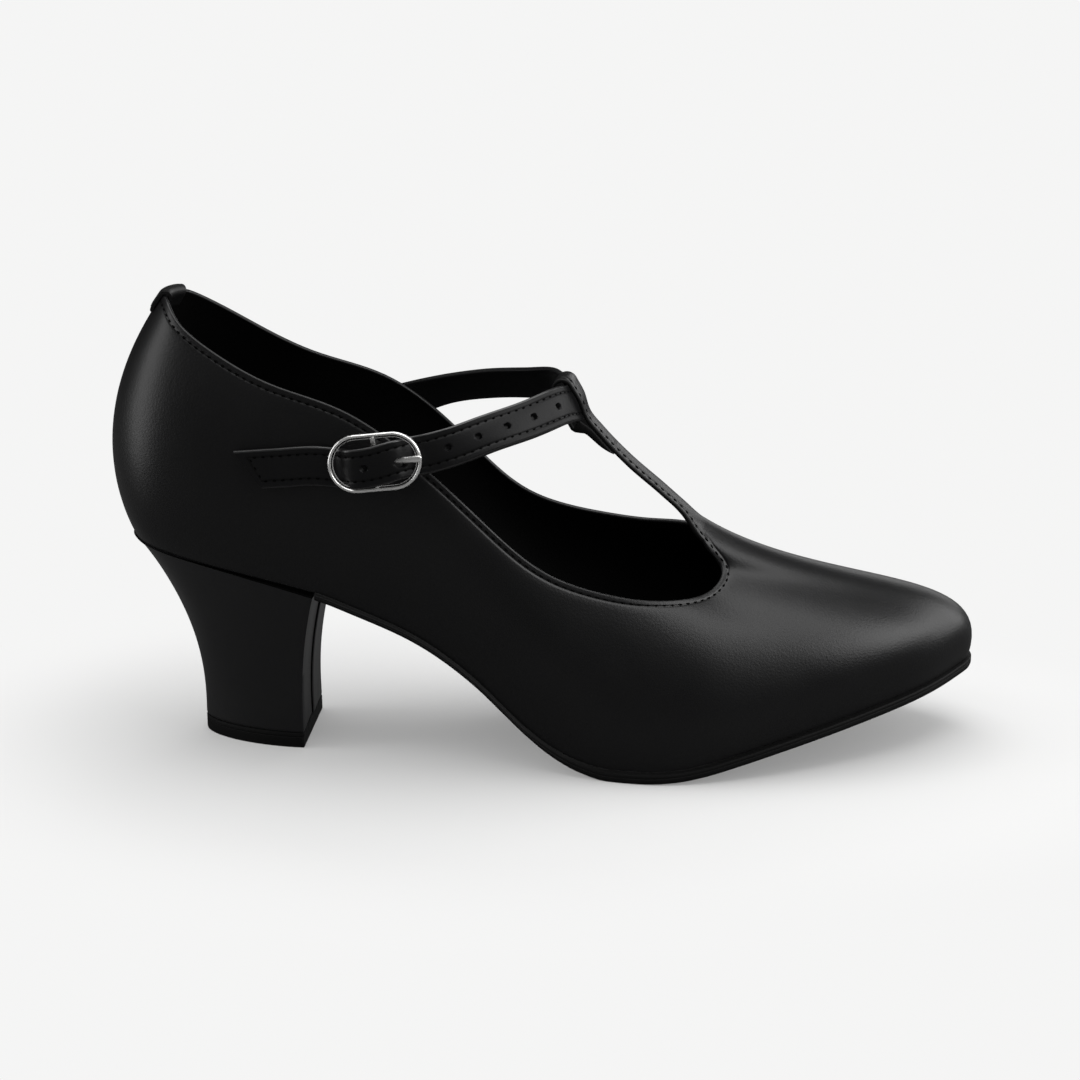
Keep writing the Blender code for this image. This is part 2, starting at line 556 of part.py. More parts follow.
def build_buckle(metal, leather, strap, collection, cutters):
    centre, along, up, out = buckle_frame_axes()

    def place(u, v, n):
        return centre + along * u + up * v + out * n

    radius = BUCKLE_HEIGHT / 2 - BUCKLE_WIRE / 2
    straight = BUCKLE_LENGTH / 2 - BUCKLE_WIRE / 2 - radius
    turns = np.linspace(-np.pi / 2, np.pi / 2, 13)
    right = [(straight + radius * math.cos(a), radius * math.sin(a)) for a in turns]
    left = [(-straight - radius * math.cos(a), -radius * math.sin(a)) for a in turns]
    path = np.array([place(u, v, FRAME_HEIGHT) for u, v in right + left])
    along_path = unit(np.roll(path, -1, 0) - np.roll(path, 1, 0))
    side = np.cross(along_path, out)
    turn = np.linspace(0, 2 * np.pi, 8, endpoint=False) + np.pi / 8
    rings = path[:, None] + side[:, None] * np.cos(turn)[None, :, None] * BUCKLE_WIRE / 2
    rings = rings + out[None, None] * np.sin(turn)[None, :, None] * BUCKLE_WIRE / 2
    faces = grid_faces(len(rings), 8, closed_rows=True, closed_columns=True)
    frame = add_object("buckle_frame", rings.reshape(-1, 3), faces, metal, collection)

    dip = [(1.0, FRAME_HEIGHT), (0.80, 0.75 * FRAME_HEIGHT + 0.25 * BAR_HEIGHT)]
    dip += [(0.55, BAR_HEIGHT), (0, BAR_HEIGHT)]
    keys = [place(0, -s * radius, n) for s, n in dip] + [place(0, s * radius, n) for s, n in dip[-2::-1]]
    bar_path = open_spline(keys, np.linspace(0, 1, 17))
    bar = sweep("buckle_bar", wire_rings(bar_path, along, BAR_WIRE, BAR_WIRE), metal, cutters)
    boolean(frame, bar, "UNION")

    hook = np.radians(np.arange(300, 89, -30))
    prong = [(PRONG_LOOP * math.cos(a), BAR_HEIGHT + PRONG_LOOP * math.sin(a)) for a in hook]
    rest = FRAME_HEIGHT + BUCKLE_WIRE / 2 + CLEARANCE + PRONG_THICKNESS / 2
    reach = BUCKLE_LENGTH / 2 - BUCKLE_WIRE / 2
    level = BAR_HEIGHT + PRONG_LOOP
    prong += [(0.18 * reach, level), (0.36 * reach, level + 0.1 * (rest - level))]
    prong += [(0.55 * reach, level + 0.35 * (rest - level)), (0.78 * reach, level + 0.8 * (rest - level))]
    prong += [(reach, rest), (reach + 0.0009, rest - 0.0001)]
    prong_path = np.array([place(u, 0, n) for u, n in prong])
    sweep("buckle_prong", wire_rings(prong_path, up, PRONG_WIDTH, PRONG_THICKNESS), metal, collection)

    slot = PRONG_WIDTH / 2 + 1.5 * CLEARANCE
    crossing = 0.47 * reach
    length = 0.0033
    turns = np.linspace(0, 2 * np.pi, 16, endpoint=False)
    oval = [(crossing + length * math.cos(a), slot * math.sin(a)) for a in turns]
    strap_slot = [[place(u, v, n) for u, v in oval] for n in (-0.004, 0.012)]
    boolean(strap, sweep("strap_slot", strap_slot, metal, cutters), "DIFFERENCE")

    width, back, ahead = 0.0096, -0.0068, 0.0019
    cells_u = np.linspace(back, ahead, 8)
    cells_v = np.linspace(-width / 2, width / 2, 5)
    lower, upper = [], []
    for u in cells_u:
        for v in cells_v:
            flat = place(u, v, 0)
            x = flat[0] / X
            h = (flat[2] - sole_top(flat[0])) / H
            point, normal = quarter_point(x, h, -1)
            lower.append(point + normal * CLEARANCE)
            upper.append(point + normal * (CLEARANCE + CHAPE_THICKNESS))
    rows, columns = len(cells_u), len(cells_v)
    faces = grid_faces(rows, columns) + grid_faces(rows, columns, first=len(lower))
    rim = [i for i in range(columns)] + [i * columns + columns - 1 for i in range(1, rows)]
    rim += [(rows - 1) * columns + j for j in range(columns - 2, -1, -1)]
    rim += [i * columns for i in range(rows - 2, 0, -1)]
    for a, b in zip(rim, rim[1:] + rim[:1]):
        faces.append((a, b, b + len(lower), a + len(lower)))
    chape = add_object("buckle_chape", lower + upper, faces, leather, collection)
    half_slot = slot + 0.0002
    near, far = -0.0020 - CLEARANCE, 0.0040
    corners = [(near, -half_slot), (far, -half_slot), (far, half_slot), (near, half_slot)]
    chape_slot = [[place(u, v, n) for u, v in corners] for n in (-0.004, 0.004)]
    boolean(chape, sweep("chape_slot", chape_slot, metal, cutters), "DIFFERENCE")


def between(grid, at, places):
    """Points of each row of a grid at the places, where at holds the columns' places."""
    places = np.atleast_1d(places)
    found = [[[np.interp(p, at, row[:, k]) for k in range(3)] for p in places] for row in grid]
    return np.array(found).reshape(-1, 3)


def build_back_tab(finish, collection):
    """Folded tab over the topline at the back seam: one U profile for each column."""
    rim = upper_rows(FINE_RING, [1.0])[0]
    count = len(rim)
    order = [(i + count) % count for i in range(-14, 15)]
    reach = np.concatenate([[0], np.cumsum(np.linalg.norm(np.diff(rim[order], axis=0), axis=1))])
    reach -= reach[14]
    shares = np.linspace(0.80, 1, 60)
    grid = upper_rows(FINE_RING, shares)
    normals = face_normals(grid, True)
    rings = []
    for place in np.linspace(-TAB_WIDTH / 2, TAB_WIDTH / 2, 7):
        column = between(grid[:, order], reach, place)
        normal = unit(between(normals[:, order], reach, place))
        steps = np.linalg.norm(np.diff(column[::-1], axis=0), axis=1)
        down = np.concatenate([[0], np.cumsum(steps)])[::-1]
        picks = np.linspace(TAB_DROP, 0, 5)
        wall = between(column[None], -down, -picks)
        out = unit(between(normal[None], -down, -picks))
        middle = wall - out * WALL / 2
        top = unit(middle[-1] - middle[-2])

        def around(radius):
            outside = list(middle + out * radius)
            arc = [
                middle[-1] + radius * (out[-1] * math.cos(a) + top * math.sin(a))
                for a in np.linspace(0, np.pi, 7)[1:-1]
            ]
            inside = list((middle - out * radius)[::-1])
            return outside + arc + inside

        close = WALL / 2 + CLEARANCE
        rings.append(around(close + TAB_THICKNESS) + around(close)[::-1])
    return sweep("back_tab", rings, finish, collection)


def heel_outlines(count):
    """Matched halves of the heel's base and of its seat, front corner to back."""
    turn = np.linspace(0, 1, count)
    reach = np.sin(turn * np.pi / 2) ** (2 / 1.75)
    spread = np.cos(turn * np.pi / 2) ** (2 / 1.75)
    halves = []
    for side in (-1, 1):
        x = HEEL_FRONT - HEEL_BASE_LENGTH * reach
        y = side * HEEL_BASE_WIDTH / 2 * spread + HEEL_SHIFT
        halves.append(np.stack([x, y], 1))
    seat = outline(SEAT_MARGIN, BREAST, -SHOE_LENGTH, count)
    return halves, seat


def build_heel(cover, rubber, collection):
    count, levels = 15, 11
    base, seat = heel_outlines(count)
    rings = []
    for level in np.linspace(0, 1, levels):
        share = level ** HEEL_PITCH
        waist = 1 - 0.02 * math.sin(math.pi * min(level * 1.3, 1))
        ring = []
        for low, high in zip(base, seat):
            centre = np.array([HEEL_FRONT - HEEL_BASE_LENGTH / 2, HEEL_SHIFT])
            low = centre + (low - centre) * waist
            flat = low + (high - low) * share
            foot = LIFT_THICKNESS + CLEARANCE
            head = sole_top(high[:, 0])
            z = foot + (head - foot) * level
            ring.append(np.concatenate([flat, z[:, None]], axis=1))
        rings.append(np.concatenate([ring[0], ring[1][-2::-1]]))
    rings = np.array(rings)
    columns = rings.shape[1]
    faces = grid_faces(levels, columns, closed_columns=True)
    for first in (0, (levels - 1) * columns):
        for i in range(count - 1):
            a, b = first + i, first + i + 1
            c, d = first + columns - 2 - i, first + columns - 1 - i
            faces.append((a, b, c, d) if b != c else (a, b, d))
    add_object("heel_block", rings.reshape(-1, 3), faces, cover, collection)
    lift = lambda x: x * 0 + LIFT_THICKNESS
    ground = lambda x: x * 0
    plate("heel_top_piece", base[0], base[1], ground, lift, rubber, collection)


def build_sole(leather, sock, collection):
    outer, inner = outline(SOLE_MARGIN, BREAST + CLEARANCE, SHOE_LENGTH, 42)
    plate("outsole", outer, inner, sole_bottom, sole_top, leather, collection, columns=6)
    inset = -(WALL / 0.85 + 2 * CLEARANCE)
    front = outline(inset, BREAST, SHOE_LENGTH, 30)
    rear = outline(inset, BREAST, -SHOE_LENGTH, 12)
    halves = [np.concatenate([r[::-1], f[1:]]) for r, f in zip(rear, front)]

    def low(x):
        return sole_top(x) + CLEARANCE

    def high(x):
        return sole_top(x) + CLEARANCE + INSOLE_THICKNESS

    plate("insole", halves[0], halves[1], low, high, sock, collection, columns=4)


def main():
    for old in list(bpy.data.objects):
        bpy.data.objects.remove(old, do_unlink=True)
    shoe = bpy.data.collections.new("character_shoe")
    cutters = bpy.data.collections.new("cutters")
    bpy.context.scene.collection.children.link(shoe)
    bpy.context.scene.collection.children.link(cutters)
    cutters.hide_render = True

    upper_leather = material("upper_leather", (0.012, 0.012, 0.013), 0.42)
    strap_leather = material("strap_leather", (0.012, 0.012, 0.013), 0.45)
    tab_leather = material("tab_leather", (0.014, 0.014, 0.014), 0.5)
    chape_leather = material("chape_leather", (0.02, 0.02, 0.02), 0.6)
    nickel = material("nickel", (0.75, 0.75, 0.74), 0.18, 1.0)
    prong_nickel = material("prong_nickel", (0.75, 0.75, 0.74), 0.2, 1.0)
    sole_leather = material("sole_leather", (0.02, 0.02, 0.02), 0.6)
    sock_lining = material("sock_lining", (0.01, 0.01, 0.01), 0.7)
    heel_cover = material("heel_cover", (0.014, 0.014, 0.015), 0.4)
    lift_rubber = material("lift_rubber", (0.008, 0.008, 0.008), 0.65)

    build_upper(upper_leather, shoe)
    strap = build_ankle_strap(strap_leather, shoe)
    build_back_tab(tab_leather, shoe)
    build_buckle(nickel, chape_leather, strap, shoe, cutters)
    bpy.data.objects["buckle_prong"].data.materials[0] = prong_nickel
    build_sole(sole_leather, sock_lining, shoe)
    build_heel(heel_cover, lift_rubber, shoe)
    for cutter in cutters.objects:
        cutter.hide_render = True
        cutter.display_type = "WIRE"


main()
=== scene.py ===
# Black character shoe, right foot: T-strap over a buckled ankle strap, covered heel.
# Sizes are in millimetres until a mesh is made; +X is the toe, -Y the outer side.
import math

import bpy
import numpy as np
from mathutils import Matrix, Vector


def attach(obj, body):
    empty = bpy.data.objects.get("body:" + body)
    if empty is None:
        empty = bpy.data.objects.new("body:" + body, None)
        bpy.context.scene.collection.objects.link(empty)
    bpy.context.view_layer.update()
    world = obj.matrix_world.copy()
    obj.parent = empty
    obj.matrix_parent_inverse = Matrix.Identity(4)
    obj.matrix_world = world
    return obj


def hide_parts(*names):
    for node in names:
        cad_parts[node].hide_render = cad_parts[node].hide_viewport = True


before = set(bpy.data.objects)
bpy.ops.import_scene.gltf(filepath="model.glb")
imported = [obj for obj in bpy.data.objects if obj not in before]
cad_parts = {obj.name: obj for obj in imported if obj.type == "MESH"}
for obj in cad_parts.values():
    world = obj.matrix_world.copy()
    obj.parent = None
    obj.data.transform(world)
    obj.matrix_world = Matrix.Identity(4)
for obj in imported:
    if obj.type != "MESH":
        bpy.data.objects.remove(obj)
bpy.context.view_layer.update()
mm = 0.001
white = (1, 1, 1, 1)

# camera and lights first, so that every piece can be judged in the photograph's view
studio = {
    "camera": (31.5, -550.0, 213.4), "yaw": 3.4737, "pitch": 15.9366, "lens": 69.5,
    "backdrop": (0.913, 0.913, 0.910),  # what the camera sees behind the shoe
    "ambient": 0.62, "glossAmbient": 0.02,
    "floor": (0.585, 0.585, 0.583), "glossFloor": (0.07, 0.07, 0.07),
    "fade": (0.12, 0.20),  # the floor turns into the backdrop at metres from the shoe's middle
    "fill": 0.06,  # share of backdrop seen in the floor, which thins the shadows
    "lights": [  # name, watts, width, height, place, aim, casts a shadow
        ("overhead", 6.5, 1.1, 0.7, (0.05, 0.05, 0.95), (0.0, 0.0, 0.04), True),
        ("frontSoft", 6.0, 0.8, 0.6, (0.92, -0.24, 0.82), (0.07, 0.0, 0.04), False),
        ("backSoft", 1.2, 0.8, 0.4, (0.55, 1.15, 0.36), (0.03, 0.0, 0.06), True),
        ("rightSoft", 5.0, 0.7, 0.8, (1.15, 0.45, 0.55), (0.09, 0.0, 0.03), False),
        ("leftSoft", 2.2, 0.35, 0.8, (-0.85, -0.10, 0.35), (-0.05, 0.0, 0.05), True),
    ],
}


def addNode(tree, kind, inputs=None, **settings):
    # a shader node; each of its inputs gets a value, or a link where a socket is given
    node = tree.nodes.new("ShaderNode" + kind)
    for key, value in settings.items():
        setattr(node, key, value)
    for key, value in (inputs or {}).items():
        if isinstance(value, bpy.types.NodeSocket):
            tree.links.new(value, node.inputs[key])
        else:
            node.inputs[key].default_value = value
    return node


def buildStudio(s):
    camera = bpy.data.objects.new("camera", bpy.data.cameras.new("camera"))
    bpy.context.scene.collection.objects.link(camera)
    camera.location = [c * mm for c in s["camera"]]
    camera.rotation_euler = (math.radians(90 - s["pitch"]), 0, math.radians(s["yaw"]))
    camera.data.lens = s["lens"]
    camera.data.sensor_width = 36
    camera.data.clip_start, camera.data.clip_end = 0.01, 50
    bpy.context.scene.camera = camera
    for name, watts, width, height, place, aim, shadow in s["lights"]:
        lamp = bpy.data.objects.new(name, bpy.data.lights.new(name, "AREA"))
        bpy.context.scene.collection.objects.link(lamp)
        lamp.data.shape = "RECTANGLE"
        lamp.data.size, lamp.data.size_y = width, height
        lamp.data.energy = watts
        lamp.location = place
        lamp.visible_camera = False
        lamp.data.use_shadow = shadow
        lamp.rotation_euler = (Vector(aim) - Vector(place)).to_track_quat("-Z", "Y").to_euler()
    world = bpy.data.worlds.new("studio")
    bpy.context.scene.world = world
    world.use_nodes = True
    tree = world.node_tree
    tree.nodes.clear()
    # what lights the shoe, what its gloss mirrors and what the camera sees
    plain = addNode(tree, "Background", {"Color": white, "Strength": s["ambient"]}).outputs[0]
    gloss = addNode(tree, "Background", {"Color": white, "Strength": s["glossAmbient"]}).outputs[0]
    seen = addNode(tree, "Background", {"Color": (*s["backdrop"], 1)}).outputs[0]
    rays = addNode(tree, "LightPath").outputs
    lit = addNode(tree, "MixShader", {0: rays["Is Glossy Ray"], 1: plain, 2: gloss}).outputs[0]
    shown = addNode(tree, "MixShader", {0: rays["Is Camera Ray"], 1: lit, 2: seen}).outputs[0]
    addNode(tree, "OutputWorld", {0: shown})
    bpy.context.scene.view_settings.view_transform = "Standard"


buildStudio(studio)
print("studio made")

soleLine = [  # x and height of the sole's underside, heel to toe
    (-120, 55.9), (-108, 55.5), (-95, 53.7), (-85, 51.8), (-77, 50.0), (-68.5, 47.9),
    (-60, 45.5), (-50, 41.3), (-37, 35.3), (-30.4, 31.5), (-23.7, 26.9), (-16.6, 21.3),
    (-10, 15.3), (-3, 9.2), (4, 4.4), (11, 1.4), (18, 0), (28, 0.05), (36, 0.55),
    (44, 1.9), (53, 4.1), (63, 6.6), (84, 11.46), (104, 15.98), (120, 19.5),
]
shankThickness, soleThickness = 1.9, 3.2
# sections of the upper, from the back seam along the outer side, round the toe and back:
# foot x, y; low x, y, h; middle x, y, h; high x, y, h; rim x, y, h (h above the sole)
sections = np.array([
    (-114, 0, -118, 0, 9.5, -124.2, 0, 28, -116, 0, 48.5, -103.2, 0, 66.5),
    (-110.5, -11, -114.6, -13.5, 9, -119, -13.5, 27.5, -112.2, -11.3, 48, -100.9, -8.4, 65.9),
    (-103.2, -19.5, -107, -24, 9, -106, -23.5, 26.5, -102, -20, 46.5, -96.3, -14.9, 61.7),
    (-88, -24.5, -90, -29.5, 9.5, -90, -29.5, 25.5, -88, -26, 43, -85.7, -20.6, 56.9),
    (-70, -25.8, -70.5, -31.5, 11, -70, -32.5, 25, -70, -30.5, 40.5, -70, -25.8, 53.5),
    (-50, -24.8, -50, -30, 10, -51, -33, 24.5, -51.5, -33, 40, -52, -28.6, 53.9),
    (-30, -24.3, -29, -30, 9.5, -31, -34, 23, -33.5, -35, 38, -35, -30.6, 51.2),
    (-12, -27, -10.5, -33, 10.5, -12.5, -36.5, 23, -16, -36, 35.5, -18.5, -31.6, 48),
    (8, -32.8, 9, -38, 9.5, 6, -38.5, 22.5, 1.5, -36, 36, -2.5, -31.6, 47.4),
    (28, -37.3, 28.5, -40.5, 8.5, 25, -38.5, 20.5, 19, -34, 34, 12, -29.6, 46.9),
    (48, -34.8, 49, -39.5, 8.5, 44.5, -37, 23, 33.5, -30.5, 34.5, 25.5, -26.8, 44.3),
    (68, -28, 69.5, -33, 9, 61.5, -31.5, 22, 46, -27, 33, 36.5, -22.6, 42.7),
    (85, -20, 87.5, -26, 10.5, 76, -26, 22, 56, -22.5, 31, 43.2, -17.8, 41.8),
    (99.5, -11.5, 103, -17.5, 12.5, 86.5, -19, 23, 62, -18, 32.3, 46.6, -13.6, 42.5),
    (108.5, -3.8, 112.5, -9, 15, 93, -12, 24, 64.5, -12.5, 34.3, 48.2, -9.8, 44),
    (114, 2.6, 118.5, -1, 17, 96.5, -5.5, 25, 65.5, -7, 36.2, 47.2, -7.2, 47.2),
    (117, 6.8, 121.5, 5, 19, 98, 0.5, 26.5, 66, -2.5, 37.5, 43.2, -5.5, 53.5),
    (118.2, 11.2, 123, 11, 20.5, 98.5, 7, 26.5, 66, 2.5, 37.5, 42.8, 0.8, 57.6),
    (117.8, 15.4, 122.5, 16.5, 19, 98.5, 13.5, 25.5, 66, 8, 36.7, 42.8, 7.2, 56.2),
    (115.6, 19.4, 120.5, 22, 16.5, 98, 20, 23, 66, 13, 35.7, 46.6, 9.6, 50.7),
    (111.2, 23.8, 115.5, 28, 15, 95, 25.5, 22, 65, 18, 34.3, 47.8, 13, 49.4),
    (103.5, 28.8, 106.5, 33.5, 12.5, 88.5, 31, 21.5, 62.5, 23.5, 33.5, 46.6, 17.2, 49.2),
    (91, 33.2, 93, 38.5, 10.5, 78.5, 35.5, 21, 57, 28.5, 35, 43, 21.6, 50.2),
    (75.5, 36.4, 76.5, 41.4, 9, 65, 39, 22, 48.5, 32.5, 36.5, 36.8, 25.2, 51.7),
    (57, 38.4, 57.5, 42.9, 8.5, 50, 41.4, 23.5, 37, 35, 38.5, 27, 28.4, 51.9),
    (37, 36.8, 37, 41, 9, 31.5, 40.5, 22.5, 23, 36.5, 37.5, 15, 30.2, 52.7),
    (17, 30.8, 17, 36, 11, 13, 37.5, 25, 7.5, 35.5, 39, 2, 30.8, 50.8),
    (-3, 23.8, -2, 30, 11.5, -5, 34, 24.5, -9, 34.5, 36, -12.5, 31, 46.4),
    (-23, 20.6, -22, 27, 10, -24, 32, 23.5, -27, 33.5, 37.5, -29.5, 30.6, 49.3),
    (-45, 22.2, -44, 28.5, 10.5, -45, 32, 25, -47, 32.5, 40.5, -48, 29.4, 53.4),
    (-68, 25, -67.5, 30.5, 11, -68, 32, 25.5, -68, 30.5, 41, -68, 26, 53.5),
    (-88, 24.3, -90, 29.5, 9.5, -90, 29.5, 25.5, -88, 26, 43.5, -86, 20.4, 59.6),
    (-103.4, 19.2, -107, 24, 9, -106, 23.5, 26.5, -102, 20, 46.5, -95.6, 14.8, 64.3),
    (-110.6, 10.8, -114.6, 13, 9, -119, 13, 27.5, -112.2, 11.3, 48, -100.8, 8.6, 66.6),
], float)
toeRow = 17  # the section at the toe tip
tStrapFront = [  # front of the T-strap, upwards: outer edge, middle, inner edge, each x, y, h
    (37.7, -5.0, 61.9, 38.0, 0.6, 62.8, 37.8, 5.6, 62.3),
    (31.9, -4.9, 67.9, 32.0, 0.4, 68.5, 32.0, 5.3, 68.1),
    (22.6, -4.8, 76.1, 22.8, 0.3, 76.8, 22.7, 5.0, 76.4),
    (15.0, -4.8, 83.8, 15.2, 0.3, 84.4, 15.1, 5.0, 84.0),
    (11.5, -4.9, 87.4, 11.8, 0.3, 87.6, 11.7, 5.1, 87.4),
    (9.2, -4.9, 92.2, 9.7, 0.3, 92.5, 9.8, 5.1, 92.4),
    (6.9, -5.0, 95.2, 7.5, 0.3, 95.6, 7.7, 5.2, 95.5),
]
gap = 0.3  # between pieces that meet


def unit(v):
    # vectors over their own lengths
    return v / np.maximum(np.linalg.norm(v, axis=-1, keepdims=True), 1e-12)


def smoothStep(t):
    # 0 to 1 with level ends: 3t^2 - 2t^3
    t = np.clip(t, 0, 1)
    return t * t * (3 - 2 * t)


def hermite(t, a, b, ta, tb):
    # cubic between a and b with end tangents ta and tb
    return ((2 * t**3 - 3 * t**2 + 1) * a + (t**3 - 2 * t**2 + t) * ta
            + (3 * t**2 - 2 * t**3) * b + (t**3 - t**2) * tb)


def smoothTable(table, x):
    # cubic through the rows, with harmonic mean tangents, so level stretches stay level
    xs, ys = np.array(table, float).T
    steps = np.diff(xs)
    slopes = np.diff(ys) / steps
    tangents = np.zeros(len(xs))
    tangents[0], tangents[-1] = slopes[0], slopes[-1]
    same = slopes[:-1] * slopes[1:] > 0
    mean = 2 * slopes[:-1] * slopes[1:] / np.where(same, slopes[:-1] + slopes[1:], 1)
    tangents[1:-1] = np.where(same, mean, 0)
    x = np.clip(x, xs[0], xs[-1])
    i = np.clip(np.searchsorted(xs, x) - 1, 0, len(steps) - 1)
    t = (x - xs[i]) / steps[i]
    return hermite(t, ys[i], ys[i + 1], steps[i] * tangents[i], steps[i] * tangents[i + 1])


def soleBottom(x):
    # height of the sole's underside
    return smoothTable(soleLine, x)


def soleTop(x):
    # the underside and the sole's thickness, thin under the arch
    thick = [(-60, shankThickness), (-10, shankThickness), (20, soleThickness), (120, soleThickness)]
    return smoothTable(soleLine, x) + smoothTable(thick, x)


def aboveSole(xyh):
    # turns the last column from height above the sole into world height
    xyz = np.array(xyh, float)
    xyz[..., 2] += soleTop(xyz[..., 0])
    return xyz


def periodicSpline(keys, perKey):
    # closed cubic with continuous curvature: the tangents solve T(i-1) + 4 T(i) + T(i+1) = 3 chord
    n = len(keys)
    flat = keys.reshape(n, -1)
    system = 4 * np.eye(n) + np.roll(np.eye(n), 1, 0) + np.roll(np.eye(n), -1, 0)
    tangents = np.linalg.solve(system, 3 * (np.roll(flat, -1, 0) - np.roll(flat, 1, 0)))
    t = (np.arange(perKey) / perKey)[None, :, None]
    curve = hermite(t, flat[:, None], np.roll(flat, -1, 0)[:, None],
                    tangents[:, None], np.roll(tangents, -1, 0)[:, None])
    return curve.reshape((n * perKey,) + keys.shape[1:])


def openSpline(keys, shares):
    # cubic through the keys by arc length, read at shares 0 to 1 of it
    keys = np.asarray(keys, float)
    flat = keys.reshape(len(keys), -1)
    at = np.concatenate([[0], np.cumsum(np.linalg.norm(np.diff(flat, axis=0), axis=1))])
    at /= at[-1]
    steps = np.diff(at)[:, None]
    slopes = np.diff(flat, axis=0) / steps
    tangents = np.concatenate([
        slopes[:1],
        (slopes[:-1] * steps[1:] + slopes[1:] * steps[:-1]) / (steps[1:] + steps[:-1]),
        slopes[-1:],
    ])
    shares = np.asarray(shares, float)
    i = np.clip(np.searchsorted(at, shares) - 1, 0, len(steps) - 1)
    t = ((shares - at[i]) / steps[i, 0])[:, None]
    curve = hermite(t, flat[i], flat[i + 1], steps[i] * tangents[i], steps[i] * tangents[i + 1])
    return curve.reshape((len(shares),) + keys.shape[1:])


def lengths(line):
    # length along a line up to each of its points
    return np.concatenate([[0], np.cumsum(np.linalg.norm(np.diff(line, axis=0), axis=1))])


def readAt(line, at, places):
    # points of a line, whose points lie at the lengths at, at the places
    return np.stack([np.interp(places, at, line[:, k]) for k in range(line.shape[1])], 1)


def ringControls(perSection):
    # five control points for each section, the first one on the sole
    foot = np.concatenate([sections[:, :2], np.full((len(sections), 1), gap)], 1)
    levels = np.concatenate([foot[:, None], sections[:, 2:].reshape(-1, 4, 3)], 1)
    ring = periodicSpline(aboveSole(levels), perSection)
    ring[:, 0, 2] = soleTop(ring[:, 0, 0]) + gap
    return ring


def bezierRows(controls, shares):
    # quartic Bezier of each section, from the sole (0) to the topline (1)
    t = np.asarray(shares, float)[:, None, None]
    return sum(math.comb(4, k) * t**k * (1 - t) ** (4 - k) * controls[None, :, k] for k in range(5))


def gridIndex(grid, start=0):
    # vertex numbers of a grid of points, row by row
    return start + np.arange(grid.shape[0] * grid.shape[1]).reshape(grid.shape[:2])


def gridQuads(index, closed=False):
    # quads of a grid of vertex numbers; closed joins its last column to the first
    if closed:
        index = np.concatenate([index, index[:, :1]], 1)
    return np.stack([index[:-1, :-1], index[:-1, 1:], index[1:, 1:], index[1:, :-1]], -1).reshape(-1, 4)


def vertexNormals(points, quads):
    # sum of the quads' cross products at each vertex
    a, b, c, d = (points[quads[:, k]] for k in range(4))
    face = np.cross(c - a, d - b)
    total = np.zeros_like(points)
    for k in range(4):
        np.add.at(total, quads[:, k], face)
    return unit(total)


def addMesh(name, points, faces, materials, slots=None, attributes=None, sharp=38):
    # points in millimetres; faces a list of vertex lists; one named float attribute per entry
    mesh = bpy.data.meshes.new(name)
    mesh.from_pydata((np.asarray(points) * mm).tolist(), [], [list(f) for f in faces])
    for key, values in (attributes or {}).items():
        mesh.attributes.new(key, "FLOAT", "POINT").data.foreach_set("value", np.asarray(values, np.float32))
    for finish in materials:
        mesh.materials.append(finish)
    if slots is not None:
        mesh.polygons.foreach_set("material_index", np.asarray(slots, np.int32))
    mesh.polygons.foreach_set("use_smooth", np.ones(len(mesh.polygons), bool))
    mesh.update()
    mesh.set_sharp_from_angle(angle=math.radians(sharp))
    made = bpy.data.objects.new(name, mesh)
    bpy.context.scene.collection.objects.link(made)
    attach(made, "root")
    return made


def tFront(base, shares):
    # outer face of the T-strap from the throat (0) to its turn (1), arched across
    keys = aboveSole(np.array(tStrapFront, float).reshape(-1, 3, 3))[:, :, None]
    across = np.linspace(-1, 1, base.shape[1])[None, :, None]
    outer, middle, inner = (keys[:, k] for k in range(3))
    arched = middle + across * (inner - outer) / 2 + across**2 * ((inner + outer) / 2 - middle)
    rows = np.concatenate([base, arched])
    run = np.linalg.norm(np.diff(rows[:, base.shape[1] // 2], axis=0), axis=1)
    lead = run[0] / run.sum()
    return openSpline(rows, lead + (1 - lead) * np.asarray(shares, float))


strapSizes = {
    "width": 10.3, "thickness": 1.8,  # the ankle strap
    "loopSlack": 0.7,  # room for it in the T-strap's loop
    # the T-strap's turned end, as shares of its front: where it stops, how soon it comes in
    # under the ankle strap; extra bulk there; what is pared off the end, and over what share
    "doubledTo": 0.60, "closing": 0.05, "bulk": 1.0, "pared": 0.8, "paredOver": 0.09,
}
wall, strapWall = 1.4, 1.1  # leather of the upper and of the T-strap
heldDepth = wall + gap + strapSizes["thickness"] / 2
turnRadius = heldDepth + strapSizes["loopSlack"] / 2


def tBase(perSection):
    # the two rows of the throat that the T-strap grows from
    ring = ringControls(perSection)
    return bezierRows(ring, [0.9, 1.0])[:, (toeRow - 1) * perSection : (toeRow + 1) * perSection + 1]


def tFrames(base, shares):
    # rows of the front, their direction upwards and their normals
    front = tFront(base, shares)
    along, across = unit(np.gradient(front, axis=0)), unit(np.gradient(front, axis=1))
    return front, along, unit(np.cross(across, along))


def heldSpan(base):
    # shares of the front between which the ankle strap lies behind it
    fine = np.linspace(0, 1, 101)
    at = lengths(tFront(base, fine)[:, base.shape[1] // 2])
    return np.interp(at[-1] - np.array([strapSizes["width"] + gap, gap]), at, fine)


